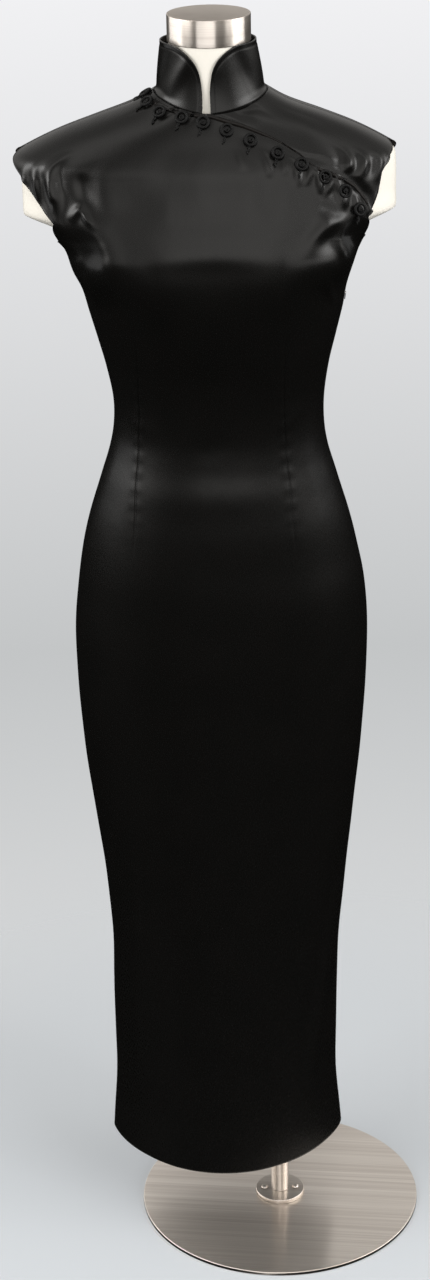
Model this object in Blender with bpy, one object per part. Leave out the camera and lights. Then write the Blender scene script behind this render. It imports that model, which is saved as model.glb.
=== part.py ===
"""A long black satin cheongsam on its limbless dress form.

Metres, +Z up. The origin is the centre of the base plate's underside. The dress faces -Y.
The cloth pieces are walls cut from one body surface, which is worked out from the sections
below: a row for each level of the body, from the hem up and over the shoulders to the neckline.
"""

import math

import bmesh
import bpy
import numpy as np
from mathutils import Matrix, Vector

# Stand
PLATE_RADIUS = 0.1854
PLATE_THICKNESS = 0.005
PLATE_BEVEL = 0.0015
FLANGE_RADIUS = 0.0325
FLANGE_THICKNESS = 0.006
FLANGE_BEVEL = 0.001
POLE_RADIUS = 0.0117
SCREW_SPREAD = 0.0205
SCREW_RADIUS = 0.0048
SCREW_HEIGHT = 0.0032
DOME_CUT = 0.0005  # how far over its middle a screw head's ball is cut flat
SEAT_GAP = 0.0003

# Dress form
TORSO_X = -0.0677  # the form's middle lies to the left of the pole
NECK_TOP_Z = 1.568
CAP_RADIUS = 0.0482
CAP_TOP_Z = 1.600
CAP_BEVEL = 0.0015
FORM_BOTTOM_ROW = 7
FORM_INSET = 0.0058  # from the cloth's outer face
FORM_SHOULDER_INSET = 0.0030  # along the shoulder seam, which rests on the form
FORM_UNDERARM_INSET = 0.0105  # where the armholes start
FORM_ARM_LIMITS = (-0.2190, 0.2145)  # the two arm discs, from the form's middle
FORM_SEAM_BAND = 24.0  # degrees each side of the shoulder seam
FORM_NECK_RINGS = (0.4, 0.75, 1.0)  # shares of the way from the neckline to the neck's top

# Cloth
WALL = 0.0016
COLLAR_WALL = 0.0018
SEAM_GAP = 0.0004
LAYER_GAP = 0.0008  # between the front's overlap and the flap under it
OVERLAP_DEPTH = 0.024  # how far the flap reaches below the overlap's edge
FLAP_RISE = (0.3, 1.1)  # levels over the edge where the flap starts to come up, and over how many

# Body sections, a row for each level from the hem to the neckline. Heights are given at the
# middle front, the side and the middle back. Depths run from the side's own middle_y.
SECTION_COLUMNS = (
    "front_z", "side_z", "back_z", "half_width", "middle_y",
    "front_depth", "back_depth", "square", "round", "shift_x",
)
SECTIONS = np.array((
    (0.1000, 0.1040, 0.1000, 0.1535, 0.022, 0.1190, 0.0880, 2.05, 1.45, -0.0016),
    (0.1900, 0.1930, 0.1900, 0.1467, 0.021, 0.1190, 0.0900, 2.05, 1.55, -0.0017),
    (0.3000, 0.3000, 0.3000, 0.1470, 0.019, 0.1190, 0.0930, 2.05, 1.65, -0.0013),
    (0.4040, 0.4040, 0.4040, 0.1482, 0.017, 0.1190, 0.0970, 2.10, 1.75, 0.0007),
    (0.5100, 0.5100, 0.5100, 0.1563, 0.015, 0.1190, 0.1020, 2.10, 1.85, 0.0023),
    (0.6100, 0.6100, 0.6100, 0.1673, 0.012, 0.1180, 0.1080, 2.15, 1.90, 0.0014),
    (0.7000, 0.7000, 0.7000, 0.1763, 0.009, 0.1170, 0.1150, 2.15, 1.95, 0.0016),
    (0.7700, 0.7700, 0.7700, 0.1802, 0.007, 0.1160, 0.1210, 2.20, 2.00, 0.0017),
    (0.8400, 0.8400, 0.8400, 0.1813, 0.005, 0.1160, 0.1250, 2.20, 2.00, 0.0023),
    (0.9030, 0.9030, 0.9030, 0.1766, 0.004, 0.1150, 0.1230, 2.20, 2.00, 0.0030),
    (0.9500, 0.9500, 0.9500, 0.1683, 0.003, 0.1120, 0.1170, 2.20, 2.00, 0.0019),
    (0.9960, 0.9960, 0.9960, 0.1575, 0.002, 0.1080, 0.1070, 2.20, 2.00, 0.0018),
    (1.0420, 1.0420, 1.0420, 0.1437, 0.001, 0.1010, 0.0950, 2.20, 2.00, 0.0023),
    (1.0800, 1.0800, 1.0800, 0.1322, 0.000, 0.0950, 0.0870, 2.20, 2.00, 0.0026),
    (1.1120, 1.1120, 1.1120, 0.1270, 0.000, 0.0920, 0.0840, 2.20, 2.00, 0.0033),
    (1.1470, 1.1470, 1.1470, 0.1269, 0.000, 0.0930, 0.0850, 2.25, 2.00, 0.0037),
    (1.1850, 1.1850, 1.1850, 0.1329, 0.000, 0.0980, 0.0900, 2.30, 2.05, 0.0032),
    (1.2210, 1.2210, 1.2210, 0.1419, 0.000, 0.1060, 0.0960, 2.35, 2.10, 0.0029),
    (1.2550, 1.2550, 1.2550, 0.1502, 0.000, 0.1135, 0.1020, 2.40, 2.15, 0.0023),
    (1.2830, 1.2830, 1.2850, 0.1559, 0.000, 0.1185, 0.1060, 2.45, 2.20, 0.0012),
    (1.3100, 1.3080, 1.3130, 0.1643, 0.000, 0.1195, 0.1100, 2.45, 2.20, 0.0008),
    (1.3420, 1.3360, 1.3390, 0.1748, 0.000, 0.1165, 0.1120, 2.40, 2.20, 0.0010),
    (1.3620, 1.3540, 1.3620, 0.1925, 0.000, 0.1125, 0.1120, 2.35, 2.25, -0.0022),
    (1.3850, 1.3730, 1.3840, 0.2250, 0.000, 0.1045, 0.1090, 2.35, 2.25, -0.0040),
    (1.4090, 1.3990, 1.4040, 0.2285, 0.000, 0.0965, 0.1040, 2.30, 2.20, -0.0055),
    (1.4250, 1.4240, 1.4180, 0.2290, 0.000, 0.0905, 0.0990, 2.30, 2.20, -0.0060),
    (1.4350, 1.4413, 1.4240, 0.2245, 0.000, 0.0870, 0.0950, 2.30, 2.15, -0.0060),
    (1.4460, 1.4525, 1.4370, 0.2080, 0.000, 0.0820, 0.0900, 2.30, 2.10, -0.0050),
    (1.4600, 1.4695, 1.4550, 0.1731, 0.000, 0.0750, 0.0830, 2.25, 2.05, -0.0030),
    (1.4740, 1.4840, 1.4780, 0.1346, 0.000, 0.0685, 0.0750, 2.20, 2.00, -0.0010),
    (1.4870, 1.4985, 1.4980, 0.0939, 0.000, 0.0620, 0.0670, 2.10, 2.00, 0.0000),
    (1.4965, 1.5130, 1.5190, 0.0667, 0.000, 0.0565, 0.0580, 2.05, 2.00, 0.0007),
))
HEM_ROW = 0
CHEST_ROW = 20  # above it the right half's rows close up towards the overlap's edge
UNDERARM_ROW = 21
SHOULDER_TIP_ROW = 26
NECK_ROW = 31

# Armholes: how many degrees each panel's edge stands back from the side line, a row for each
# level from the underarm to just above the shoulder tip. Left and right are the viewer's.
ARMHOLE_COLUMNS = ("front_left", "front_right", "back")
ARMHOLES = np.array((
    (0.0, 0.0, 0.0),
    (26.0, 26.0, 22.0),
    (38.0, 36.0, 30.0),
    (31.0, 31.0, 27.0),
    (22.0, 29.0, 21.0),
    (7.0, 20.0, 9.0),
    (0.0, 0.0, 0.0),
))

# The overlap's edge, from the middle of the neck to the right armhole: x from the torso's
# middle, and height.
OVERLAP_X = (-0.010, 0.000, 0.027, 0.054, 0.080, 0.104, 0.126, 0.146, 0.163, 0.176, 0.186)
OVERLAP_Z = (1.500, 1.4965, 1.487, 1.4745, 1.4620, 1.4510, 1.4405, 1.4280, 1.4125, 1.3950, 1.3760)

# Bust and large folds on the front: x and height of both ends, spread, and height of the crest
BUST_X = 0.082
BUST_Z = 1.292
BUST_SPREAD = (0.046, 0.050)
BUST_HEIGHT = 0.0085
FOLD_COLUMNS = ("x0", "z0", "x1", "z1", "spread", "crest")
FOLDS = (
    (-0.200, 1.402, -0.150, 1.440, 0.0085, 0.0030),
    (-0.176, 1.372, -0.165, 1.425, 0.0075, 0.0024),
    (-0.135, 1.362, -0.122, 1.432, 0.0110, 0.0036),
    (-0.155, 1.330, -0.140, 1.372, 0.0100, -0.0022),
    (0.150, 1.300, 0.128, 1.375, 0.0095, 0.0026),
    (0.170, 1.330, 0.150, 1.372, 0.0080, 0.0022),
    (0.138, 0.475, 0.107, 0.250, 0.0130, 0.0032),
    (-0.122, 0.420, -0.128, 0.190, 0.0120, 0.0024),
)

# Collar
COLLAR_TOP_Z = 1.574
COLLAR_OPENING = (math.radians(-8.8), math.radians(-0.4))  # left and right edges, round the neck
COLLAR_LEAN = (0.205, 0.055)  # how far the top draws in, across and along Y
COLLAR_FLARE = (0.018, 0.10)  # extra draw just over the seam, and the share of the height it takes
COLLAR_DRIFT = -0.0020  # how far the top's middle lies to the left of the neckline's
# The curved front edges: distance round the neck from the opening, and the edge's height there
COLLAR_EDGE_REACH = (0.0, 0.0020, 0.0045, 0.0085, 0.0140, 0.0220, 0.0310, 0.0400, 0.0520)
COLLAR_EDGE_Z = (1.5190, 1.5345, 1.5430, 1.5505, 1.5570, 1.5630, 1.5680, 1.5720, 1.5740)

# Ring buttons: x from the torso's middle, and height
BUTTONS = (
    (-0.0757, 1.5090), (-0.0718, 1.5040), (-0.0576, 1.4965), (-0.0325, 1.4925),
    (-0.0086, 1.4878), (0.0183, 1.4794), (0.0451, 1.4684), (0.0756, 1.4540),
    (0.1024, 1.4412), (0.1286, 1.4265), (0.1510, 1.4090), (0.1674, 1.3870),
)
RING_RADIUS = 0.0066
CORD_RADIUS = 0.0013
TAIL_LENGTH = 0.0075
TAIL_SPREAD = 0.0016
TAIL_ANGLE = math.radians(-128)
TAIL_SHAPE = ((0.55, -1.0), (0.9, -1.0), (1.0, 0.0), (0.9, 1.0), (0.55, 1.0))  # along and across
KNOT_RADIUS = (0.0027, 0.0027, 0.0021)
BUTTON_CLEARANCE = 0.0006

# Side hook on the right seam
HOOK_PLACE = (math.radians(84), 1.268)
HOOK_WIRE = 0.0006
HOOK_SIZE = (0.0030, 0.0075)

# Colours, linear
STEEL_COLOUR = (0.42, 0.39, 0.35)
SHELL_COLOUR = (0.86, 0.84, 0.79)
SATIN_COLOUR = (0.006, 0.006, 0.007)
WIRE_COLOUR = (0.55, 0.55, 0.53)

# Mesh steps
FRONT_STEPS = 26
BACK_STEPS = 22
FLAP_STEPS = (12, 10)
COLLAR_STEPS = (40, 5)
ROUND_SIDES = 40
PLATE_SIDES = 64
POLE_SIDES = 24
DOME_STEPS = (16, 8)
KNOT_STEPS = (8, 5)
RING_STEPS = 12
SEARCH_STEPS = 40
MOST_SINE = 0.9995


def section(name, level):
    """A column of the sections, joined by a smooth curve, at any level."""
    column = SECTIONS[:, SECTION_COLUMNS.index(name)]
    ends = (2 * column[0] - column[1], 2 * column[-1] - column[-2])
    padded = np.concatenate(([ends[0]], column, [ends[1]]))
    level = np.clip(level, 0, len(column) - 1)
    row = np.minimum(level.astype(int), len(column) - 2)
    part = level - row
    before, low, high, after = (padded[row + step] for step in range(4))
    bend = 2 * before - 5 * low + 4 * high - after
    twist = 3 * (low - high) + after - before
    return low + 0.5 * part * (high - before + part * (bend + part * twist))


def bust(x, z):
    """How far the bust carries the front forward."""
    across = np.exp(-(((np.abs(x) - BUST_X) / BUST_SPREAD[0]) ** 2))
    return BUST_HEIGHT * across * np.exp(-(((z - BUST_Z) / BUST_SPREAD[1]) ** 2))


def body(angle, level):
    """A point of the body surface. angle is 0 at the middle front and 90 degrees at the right side."""
    sine, cosine = np.sin(angle), np.cos(angle)
    front = cosine >= 0
    depth = np.where(front, -section("front_depth", level), section("back_depth", level))
    middle_z = np.where(front, section("front_z", level), section("back_z", level))
    side_z = section("side_z", level)
    fall = 1 - np.abs(sine) ** section("square", level)
    x = section("half_width", level) * sine
    y = section("middle_y", level) + depth * np.maximum(fall, 0) ** (1 / section("round", level))
    z = side_z + (middle_z - side_z) * cosine**2
    y = y - np.where(front, bust(x, z) * cosine**2, 0)
    return np.stack((x + section("shift_x", level), y, z), axis=-1)


def outward(angle, level):
    """The body surface's normal."""
    turn, climb = 0.004, 0.02
    across = body(angle + turn, level) - body(angle - turn, level)
    high = np.minimum(level + climb, NECK_ROW)
    low = np.maximum(level - climb, HEM_ROW)
    along = body(angle, high) - body(angle, low)
    normal = np.cross(across, along)
    return normal / np.linalg.norm(normal, axis=-1, keepdims=True)


def fold_height(x, z):
    """The large folds' height over the smooth front."""
    total = np.zeros_like(x)
    for row in FOLDS:
        fold = dict(zip(FOLD_COLUMNS, row))
        run = np.array((fold["x1"] - fold["x0"], fold["z1"] - fold["z0"]))
        length = np.linalg.norm(run)
        run = run / length
        along = (x - fold["x0"]) * run[0] + (z - fold["z0"]) * run[1]
        aside = (x - fold["x0"]) * run[1] - (z - fold["z0"]) * run[0]
        end = np.clip(along / length, 0, 1)
        swell = np.sin(math.pi * end) ** 2
        total += fold["crest"] * swell * np.exp(-((aside / fold["spread"]) ** 2))
    return total


def cloth(angle, level, lift, keep_side):
    """Points of a cloth piece at lift over the body. keep_side is -1 for front and 1 for back."""
    point = body(angle, level)
    height = fold_height(point[..., 0], point[..., 2]) if keep_side < 0 else 0.0
    point = point + outward(angle, level) * (lift + height)[..., None]
    seam = section("middle_y", level) + keep_side * SEAM_GAP / 2
    point[..., 1] = np.minimum(point[..., 1], seam) if keep_side < 0 else np.maximum(point[..., 1], seam)
    return point


def armhole_angle(name, level):
    """The angle, in radians, at which a panel ends at this level."""
    rows = np.arange(len(ARMHOLES)) + UNDERARM_ROW
    back = np.interp(level, rows, ARMHOLES[:, ARMHOLE_COLUMNS.index(name)])
    return math.pi / 2 - np.radians(back)


def level_under_edge(share, drop):
    """The level where the right half's column at this share of its width meets the overlap's edge."""
    low, high = float(UNDERARM_ROW), float(NECK_ROW)
    for _ in range(SEARCH_STEPS):
        level = np.array((low + high) / 2)
        x, _, z = body(share * armhole_angle("front_right", level), level)
        if z > np.interp(x, OVERLAP_X, OVERLAP_Z) - drop:
            high = float(level)
        else:
            low = float(level)
    return (low + high) / 2


def angle_and_level(x, z):
    """Where on the front surface a point with this x and height lies."""
    low, high = float(CHEST_ROW), float(NECK_ROW)
    angle = 0.0
    for _ in range(SEARCH_STEPS):
        level = np.array((low + high) / 2)
        sine = (x - section("shift_x", level)) / section("half_width", level)
        angle = math.asin(max(-MOST_SINE, min(MOST_SINE, float(sine))))
        if body(np.array(angle), level)[2] > z:
            high = float(level)
        else:
            low = float(level)
    return np.array(angle), np.array((low + high) / 2)


def material(name, rgb, roughness, metallic=0.0):
    made = bpy.data.materials.new(name)
    made.use_nodes = True
    shader = made.node_tree.nodes["Principled BSDF"]
    shader.inputs["Base Color"].default_value = (*rgb, 1.0)
    shader.inputs["Roughness"].default_value = roughness
    shader.inputs["Metallic"].default_value = metallic
    made.diffuse_color = (*rgb, 1.0)
    return made


def add(name, data, look, parent, place=(0.0, 0.0, 0.0)):
    thing = bpy.data.objects.new(name, data)
    data.materials.append(look)
    bpy.context.scene.collection.objects.link(thing)
    thing.parent = parent
    thing.location = place
    return thing


def mesh_from(bm, name):
    data = bpy.data.meshes.new(name)
    bm.to_mesh(data)
    bm.free()
    data.shade_smooth()
    data.set_sharp_from_angle(angle=math.radians(35))
    return data


def wall_mesh(name, outer, inner):
    """A closed wall between two grids of points, outer and inner."""
    columns, rows = outer.shape[0] - 1, outer.shape[1] - 1
    bm = bmesh.new()
    bmesh.ops.create_grid(bm, x_segments=columns, y_segments=rows, size=1)
    places = {}
    for vert in bm.verts:
        places[vert] = (round((vert.co.x + 1) / 2 * columns), round((vert.co.y + 1) / 2 * rows))
    rim = [edge for edge in bm.edges if edge.is_boundary]
    copied = bmesh.ops.duplicate(bm, geom=bm.verts[:] + bm.edges[:] + bm.faces[:])
    partner = copied["vert_map"]
    for vert, place in places.items():
        vert.co = outer[place]
        partner[vert].co = inner[place]
    inner_faces = [item for item in copied["geom"] if isinstance(item, bmesh.types.BMFace)]
    bmesh.ops.reverse_faces(bm, faces=inner_faces)
    for edge in rim:
        loop = edge.link_loops[0]
        start, end = loop.vert, loop.link_loop_next.vert
        bm.faces.new((end, start, partner[start], partner[end]))
    bmesh.ops.recalc_face_normals(bm, faces=bm.faces[:])
    return mesh_from(bm, name)


def clear_scene():
    for thing in list(bpy.data.objects):
        bpy.data.objects.remove(thing)


def front_grid():
    """Angles and levels of the front, whose right half ends at the overlap's edge."""
    shares = np.linspace(-1, 1, FRONT_STEPS + 1)
    levels = np.arange(HEM_ROW, NECK_ROW + 1, dtype=float)
    angles = np.zeros((len(shares), len(levels)))
    heights = np.zeros_like(angles)
    for column, share in enumerate(shares):
        top = level_under_edge(share, 0.0) if share > 0 else float(NECK_ROW)
        closed_up = (levels - CHEST_ROW) / (NECK_ROW - CHEST_ROW) * (top - CHEST_ROW) + CHEST_ROW
        heights[column] = np.where(levels > CHEST_ROW, closed_up, levels)
        side = "front_right" if share > 0 else "front_left"
        angles[column] = share * armhole_angle(side, heights[column])
    return angles, heights


def back_grid():
    """Angles and levels of the back, from the right side round to the left."""
    shares = np.linspace(-1, 1, BACK_STEPS + 1)
    levels = np.arange(HEM_ROW, NECK_ROW + 1, dtype=float)
    heights = np.tile(levels, (len(shares), 1))
    angles = math.pi + shares[:, None] * armhole_angle("back", heights)
    return angles, heights


def flap_grid():
    """Angles, levels and depths of the flap that closes the right shoulder under the overlap."""
    columns, rows = FLAP_STEPS
    angles = np.zeros((columns + 1, rows + 1))
    heights = np.zeros_like(angles)
    lifts = np.zeros_like(angles)
    under = -(WALL + LAYER_GAP)
    for column in range(columns + 1):
        share = column / columns
        low = level_under_edge(share, OVERLAP_DEPTH)
        edge = level_under_edge(share, 0.0)
        knee = (1 - share) * (low + NECK_ROW) / 2 + share * SHOULDER_TIP_ROW
        steps = np.linspace(0, 2, rows + 1)
        lower = low + (knee - low) * steps
        upper = knee + (NECK_ROW - knee) * (steps - 1)
        heights[column] = np.where(steps <= 1, lower, upper)
        angles[column] = share * armhole_angle("front_right", heights[column])
        rise = np.clip((heights[column] - edge - FLAP_RISE[0]) / FLAP_RISE[1], 0, 1)
        lifts[column] = under * (1 - rise * rise * (3 - 2 * rise) * share**0.5)
    return angles, heights, lifts


def collar_grid():
    """Outer and inner points of the stand collar, open at the front."""
    columns, rows = COLLAR_STEPS
    left, right = COLLAR_OPENING
    run = (1 - np.cos(np.linspace(0, math.pi, columns + 1))) / 2
    angles = left - run * (2 * math.pi - (right - left))
    level = np.full_like(angles, float(NECK_ROW))
    base = body(angles, level)
    reach = float(section("half_width", np.array(float(NECK_ROW))))
    from_edge = reach * np.minimum(left - angles, 2 * math.pi - (right - left) - (left - angles))
    top_z = np.interp(from_edge, COLLAR_EDGE_REACH, COLLAR_EDGE_Z)
    middle = np.array((float(section("shift_x", np.array(float(NECK_ROW)))), 0.0))
    outer = np.zeros((columns + 1, rows + 1, 3))
    inner = np.zeros_like(outer)
    for row in range(rows + 1):
        z = base[:, 2] + SEAM_GAP + (top_z - base[:, 2] - SEAM_GAP) * row / rows
        rise = (z - base[:, 2]) / (COLLAR_TOP_Z - base[:, 2])
        across = base[:, :2] - middle
        flare = COLLAR_FLARE[0] * np.clip(rise / COLLAR_FLARE[1], 0, 1)
        drawn = across * (1 - np.stack([lean * rise + flare for lean in COLLAR_LEAN], axis=-1))
        drift = np.stack((COLLAR_DRIFT * rise, np.zeros_like(rise)), axis=-1)
        length = np.linalg.norm(drawn, axis=-1, keepdims=True)
        outer[:, row, :2] = middle + drift + drawn
        inner[:, row, :2] = middle + drift + drawn * (1 - COLLAR_WALL / length)
        outer[:, row, 2] = z
        inner[:, row, 2] = z
    return outer, inner


def form_rings():
    """Rings of the dress form, from its flat foot to the neck's top."""
    angles = np.concatenate((
        np.linspace(-math.pi / 2, math.pi / 2, FRONT_STEPS + 1)[:-1],
        np.linspace(math.pi / 2, 3 * math.pi / 2, BACK_STEPS + 1)[:-1],
    ))
    rings = []
    for row in range(FORM_BOTTOM_ROW, NECK_ROW + 1):
        level = np.full_like(angles, float(row))
        from_seam = np.degrees(np.arccos(np.abs(np.sin(angles))))
        near_seam = np.clip(1 - from_seam / FORM_SEAM_BAND, 0, 1) ** 2
        on_shoulder = 1.0 if row > SHOULDER_TIP_ROW else 0.0
        plain = FORM_UNDERARM_INSET if row in (UNDERARM_ROW, UNDERARM_ROW + 1) else FORM_INSET
        inset = plain + (FORM_SHOULDER_INSET - plain) * near_seam * on_shoulder
        ring = body(angles, level) - outward(angles, level) * inset[:, None]
        ring[:, 0] = np.clip(ring[:, 0], *FORM_ARM_LIMITS)
        if row == FORM_BOTTOM_ROW:
            ring[:, 2] = float(SECTIONS[row, 0])
        rings.append(ring)
    last = rings[-1]
    for share in FORM_NECK_RINGS:
        circle = np.stack((CAP_RADIUS * np.sin(angles), -CAP_RADIUS * np.cos(angles)), axis=-1)
        ring = last.copy()
        ease = 1 - (1 - share) ** 2
        ring[:, :2] = last[:, :2] * (1 - ease) + circle * ease
        ring[:, 2] = last[:, 2] * (1 - share) + NECK_TOP_Z * share
        rings.append(ring)
    return rings


def form_mesh():
    bm = bmesh.new()
    loops = []
    for ring in form_rings():
        loops.append([bm.verts.new(point) for point in ring])
    count = len(loops[0])
    for low, high in zip(loops, loops[1:]):
        for side in range(count):
            after = (side + 1) % count
            bm.faces.new((low[side], low[after], high[after], high[side]))
    bm.faces.new(loops[0][::-1])
    bm.faces.new(loops[-1])
    bmesh.ops.recalc_face_normals(bm, faces=bm.faces[:])
    return mesh_from(bm, "form_torso")


def disc_mesh(name, radius, height, bevel, sides=ROUND_SIDES):
    """A round plate or bar standing on z = 0, with its rims rounded."""
    bm = bmesh.new()
    bmesh.ops.create_cone(
        bm, cap_ends=True, segments=sides, radius1=radius, radius2=radius, depth=height,
        matrix=Matrix.Translation((0, 0, height / 2)),
    )
    if bevel:
        rims = [edge for edge in bm.edges if abs(edge.verts[0].co.z - edge.verts[1].co.z) < 1e-6]
        bmesh.ops.bevel(bm, geom=rims, offset=bevel, segments=1, profile=0.5, affect="EDGES")
    return mesh_from(bm, name)


def dome_mesh(name, radius, height):
    """A screw's domed head, flat underneath."""
    bm = bmesh.new()
    bmesh.ops.create_uvsphere(bm, u_segments=DOME_STEPS[0], v_segments=DOME_STEPS[1], radius=radius)
    cut = bmesh.ops.bisect_plane(
        bm, geom=bm.verts[:] + bm.edges[:] + bm.faces[:], plane_co=(0, 0, DOME_CUT),
        plane_no=(0, 0, 1), clear_inner=True,
    )
    bmesh.ops.holes_fill(bm, edges=[e for e in cut["geom_cut"] if isinstance(e, bmesh.types.BMEdge)])
    for vert in bm.verts:
        vert.co.z = (vert.co.z - DOME_CUT) * height / radius
    bmesh.ops.recalc_face_normals(bm, faces=bm.faces[:])
    return mesh_from(bm, name)


def loop_curve():
    """One button's cord: a ring that runs on into a narrow tail, flat in its own XY plane."""
    half_mouth = math.asin(TAIL_SPREAD / RING_RADIUS)
    points = []
    for step in range(RING_STEPS + 1):
        turn = TAIL_ANGLE + half_mouth + 2 * (math.pi - half_mouth) * step / RING_STEPS
        points.append((RING_RADIUS * math.cos(turn), RING_RADIUS * math.sin(turn)))
    ahead = Vector((math.cos(TAIL_ANGLE), math.sin(TAIL_ANGLE)))
    aside = Vector((-ahead.y, ahead.x))
    for reach, spread in TAIL_SHAPE:
        tail = ahead * (RING_RADIUS + TAIL_LENGTH * reach) + aside * TAIL_SPREAD * spread
        points.append((tail.x, tail.y))
    data = bpy.data.curves.new("button_loop", "CURVE")
    data.dimensions = "3D"
    data.bevel_depth = CORD_RADIUS
    data.bevel_resolution = 1
    line = data.splines.new("POLY")
    line.points.add(len(points) - 1)
    for point, (x, y) in zip(line.points, points):
        point.co = (x, y, 0, 1)
    line.use_cyclic_u = True
    return data


def knot_mesh():
    bm = bmesh.new()
    bmesh.ops.create_uvsphere(bm, u_segments=KNOT_STEPS[0], v_segments=KNOT_STEPS[1], radius=1)
    bmesh.ops.scale(bm, vec=KNOT_RADIUS, verts=bm.verts[:])
    return mesh_from(bm, "button_knot")


def hook_curve():
    """The side closing's small wire hook, a narrow U, flat in its own XY plane."""
    half, length = HOOK_SIZE[0] / 2, HOOK_SIZE[1]
    data = bpy.data.curves.new("side_hook", "CURVE")
    data.dimensions = "3D"
    data.bevel_depth = HOOK_WIRE
    data.bevel_resolution = 1
    data.use_fill_caps = True
    bend = []
    for turn in np.radians(range(0, 181, 45)):
        bend.append((half * math.cos(turn), length / 2 + half * math.sin(turn)))
    points = [(half, -length / 2)] + bend + [(-half, -length / 2)]
    line = data.splines.new("POLY")
    line.points.add(len(points) - 1)
    for point, (x, y) in zip(line.points, points):
        point.co = (x, y, 0, 1)
    return data


def surface_frame(angle, level, lift):
    """A turned and moved frame on the front: x across it, y up it, z out of it."""
    normal = Vector(outward(angle, level))
    point = body(angle, level)
    height = fold_height(point[0], point[2])
    across = Vector((0, 0, 1)).cross(normal).normalized()
    up = normal.cross(across)
    turned = Matrix((across, up, normal)).transposed().to_4x4()
    return Matrix.Translation(Vector(point) + normal * (lift + float(height))) @ turned


def build_stand(parent):
    steel = material("brushed_steel", STEEL_COLOUR, 0.32, 1.0)
    white = material("form_shell", SHELL_COLOUR, 0.5)
    plate = disc_mesh("base_plate", PLATE_RADIUS, PLATE_THICKNESS, PLATE_BEVEL, PLATE_SIDES)
    add("base_plate", plate, steel, parent)
    flange_z = PLATE_THICKNESS + SEAT_GAP
    flange = disc_mesh("pole_flange", FLANGE_RADIUS, FLANGE_THICKNESS, FLANGE_BEVEL)
    add("pole_flange", flange, steel, parent, (0, 0, flange_z))
    pole_z = flange_z + FLANGE_THICKNESS + SEAT_GAP
    pole_top = float(SECTIONS[FORM_BOTTOM_ROW, 0]) - SEAT_GAP
    pole = disc_mesh("pole", POLE_RADIUS, pole_top - pole_z, 0, POLE_SIDES)
    add("pole", pole, steel, parent, (0, 0, pole_z))
    head = dome_mesh("flange_screw", SCREW_RADIUS, SCREW_HEIGHT)
    for number, side in enumerate((-1, 1), 1):
        place = (side * SCREW_SPREAD, 0, pole_z)
        add(f"flange_screw_{number}", head.copy(), steel, parent, place)
    add("form_torso", form_mesh(), white, parent, (TORSO_X, 0, 0))
    cap = disc_mesh("neck_cap", CAP_RADIUS, CAP_TOP_Z - NECK_TOP_Z - SEAT_GAP, CAP_BEVEL)
    add("neck_cap", cap, steel, parent, (TORSO_X, 0, NECK_TOP_Z + SEAT_GAP))


def cloth_wall(name, angles, levels, lifts, keep_side):
    """A piece of the dress as a wall under the body surface."""
    outer = cloth(angles, levels, lifts, keep_side)
    inner = cloth(angles, levels, lifts - WALL, keep_side)
    return wall_mesh(name, outer, inner)


def build_dress(parent):
    satin = material("black_satin", SATIN_COLOUR, 0.35)
    cord = material("satin_cord", SATIN_COLOUR, 0.45)
    wire = material("hook_wire", WIRE_COLOUR, 0.3, 1.0)
    place = (TORSO_X, 0, 0)
    angles, levels = front_grid()
    front = cloth_wall("dress_front", angles, levels, np.zeros_like(angles), -1)
    add("dress_front", front, satin, parent, place)
    angles, levels = back_grid()
    back = cloth_wall("dress_back", angles, levels, np.zeros_like(angles), 1)
    add("dress_back", back, satin, parent, place)
    angles, levels, lifts = flap_grid()
    flap = cloth_wall("dress_under_flap", angles, levels, lifts, -1)
    add("dress_under_flap", flap, satin, parent, place)
    add("stand_collar", wall_mesh("stand_collar", *collar_grid()), satin, parent, place)
    kinds = (
        ("button_loop", loop_curve(), CORD_RADIUS),
        ("button_knot", knot_mesh(), KNOT_RADIUS[2]),
    )
    for number, (x, z) in enumerate(BUTTONS, 1):
        angle, level = angle_and_level(x, z)
        for name, data, half_height in kinds:
            thing = add(f"{name}_{number:02d}", data.copy(), cord, parent)
            seat = surface_frame(angle, level, half_height + BUTTON_CLEARANCE)
            thing.matrix_local = Matrix.Translation(place) @ seat
    angle, z = HOOK_PLACE
    level = np.array(float(np.interp(z, SECTIONS[:, 1], np.arange(len(SECTIONS)))))
    hook = add("side_hook", hook_curve(), wire, parent)
    seat = surface_frame(np.array(angle), level, HOOK_WIRE + SEAM_GAP)
    hook.matrix_local = Matrix.Translation(place) @ seat


def main():
    clear_scene()
    stand = bpy.data.objects.new("stand", None)
    bpy.context.scene.collection.objects.link(stand)
    build_stand(stand)
    build_dress(stand)


main()
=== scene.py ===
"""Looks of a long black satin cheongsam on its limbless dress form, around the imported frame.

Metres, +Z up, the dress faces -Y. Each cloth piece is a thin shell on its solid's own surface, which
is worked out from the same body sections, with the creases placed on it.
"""

import math

import bmesh
import bpy
import numpy as np
from mathutils import Matrix, Vector


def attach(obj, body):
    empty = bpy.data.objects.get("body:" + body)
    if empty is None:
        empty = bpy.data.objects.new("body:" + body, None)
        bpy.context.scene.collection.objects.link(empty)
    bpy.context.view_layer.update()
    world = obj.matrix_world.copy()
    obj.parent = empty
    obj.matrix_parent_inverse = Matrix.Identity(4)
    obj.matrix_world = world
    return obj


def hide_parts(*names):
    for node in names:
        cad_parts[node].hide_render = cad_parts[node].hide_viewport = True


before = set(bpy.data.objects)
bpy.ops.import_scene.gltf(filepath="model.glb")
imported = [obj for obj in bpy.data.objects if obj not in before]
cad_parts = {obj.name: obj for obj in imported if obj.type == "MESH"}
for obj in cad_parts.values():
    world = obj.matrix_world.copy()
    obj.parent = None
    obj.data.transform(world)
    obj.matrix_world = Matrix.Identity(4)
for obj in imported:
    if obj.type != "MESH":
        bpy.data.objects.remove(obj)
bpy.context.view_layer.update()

# Photograph and camera
PHOTO_WIDTH = 430
PHOTO_HEIGHT = 1280
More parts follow.
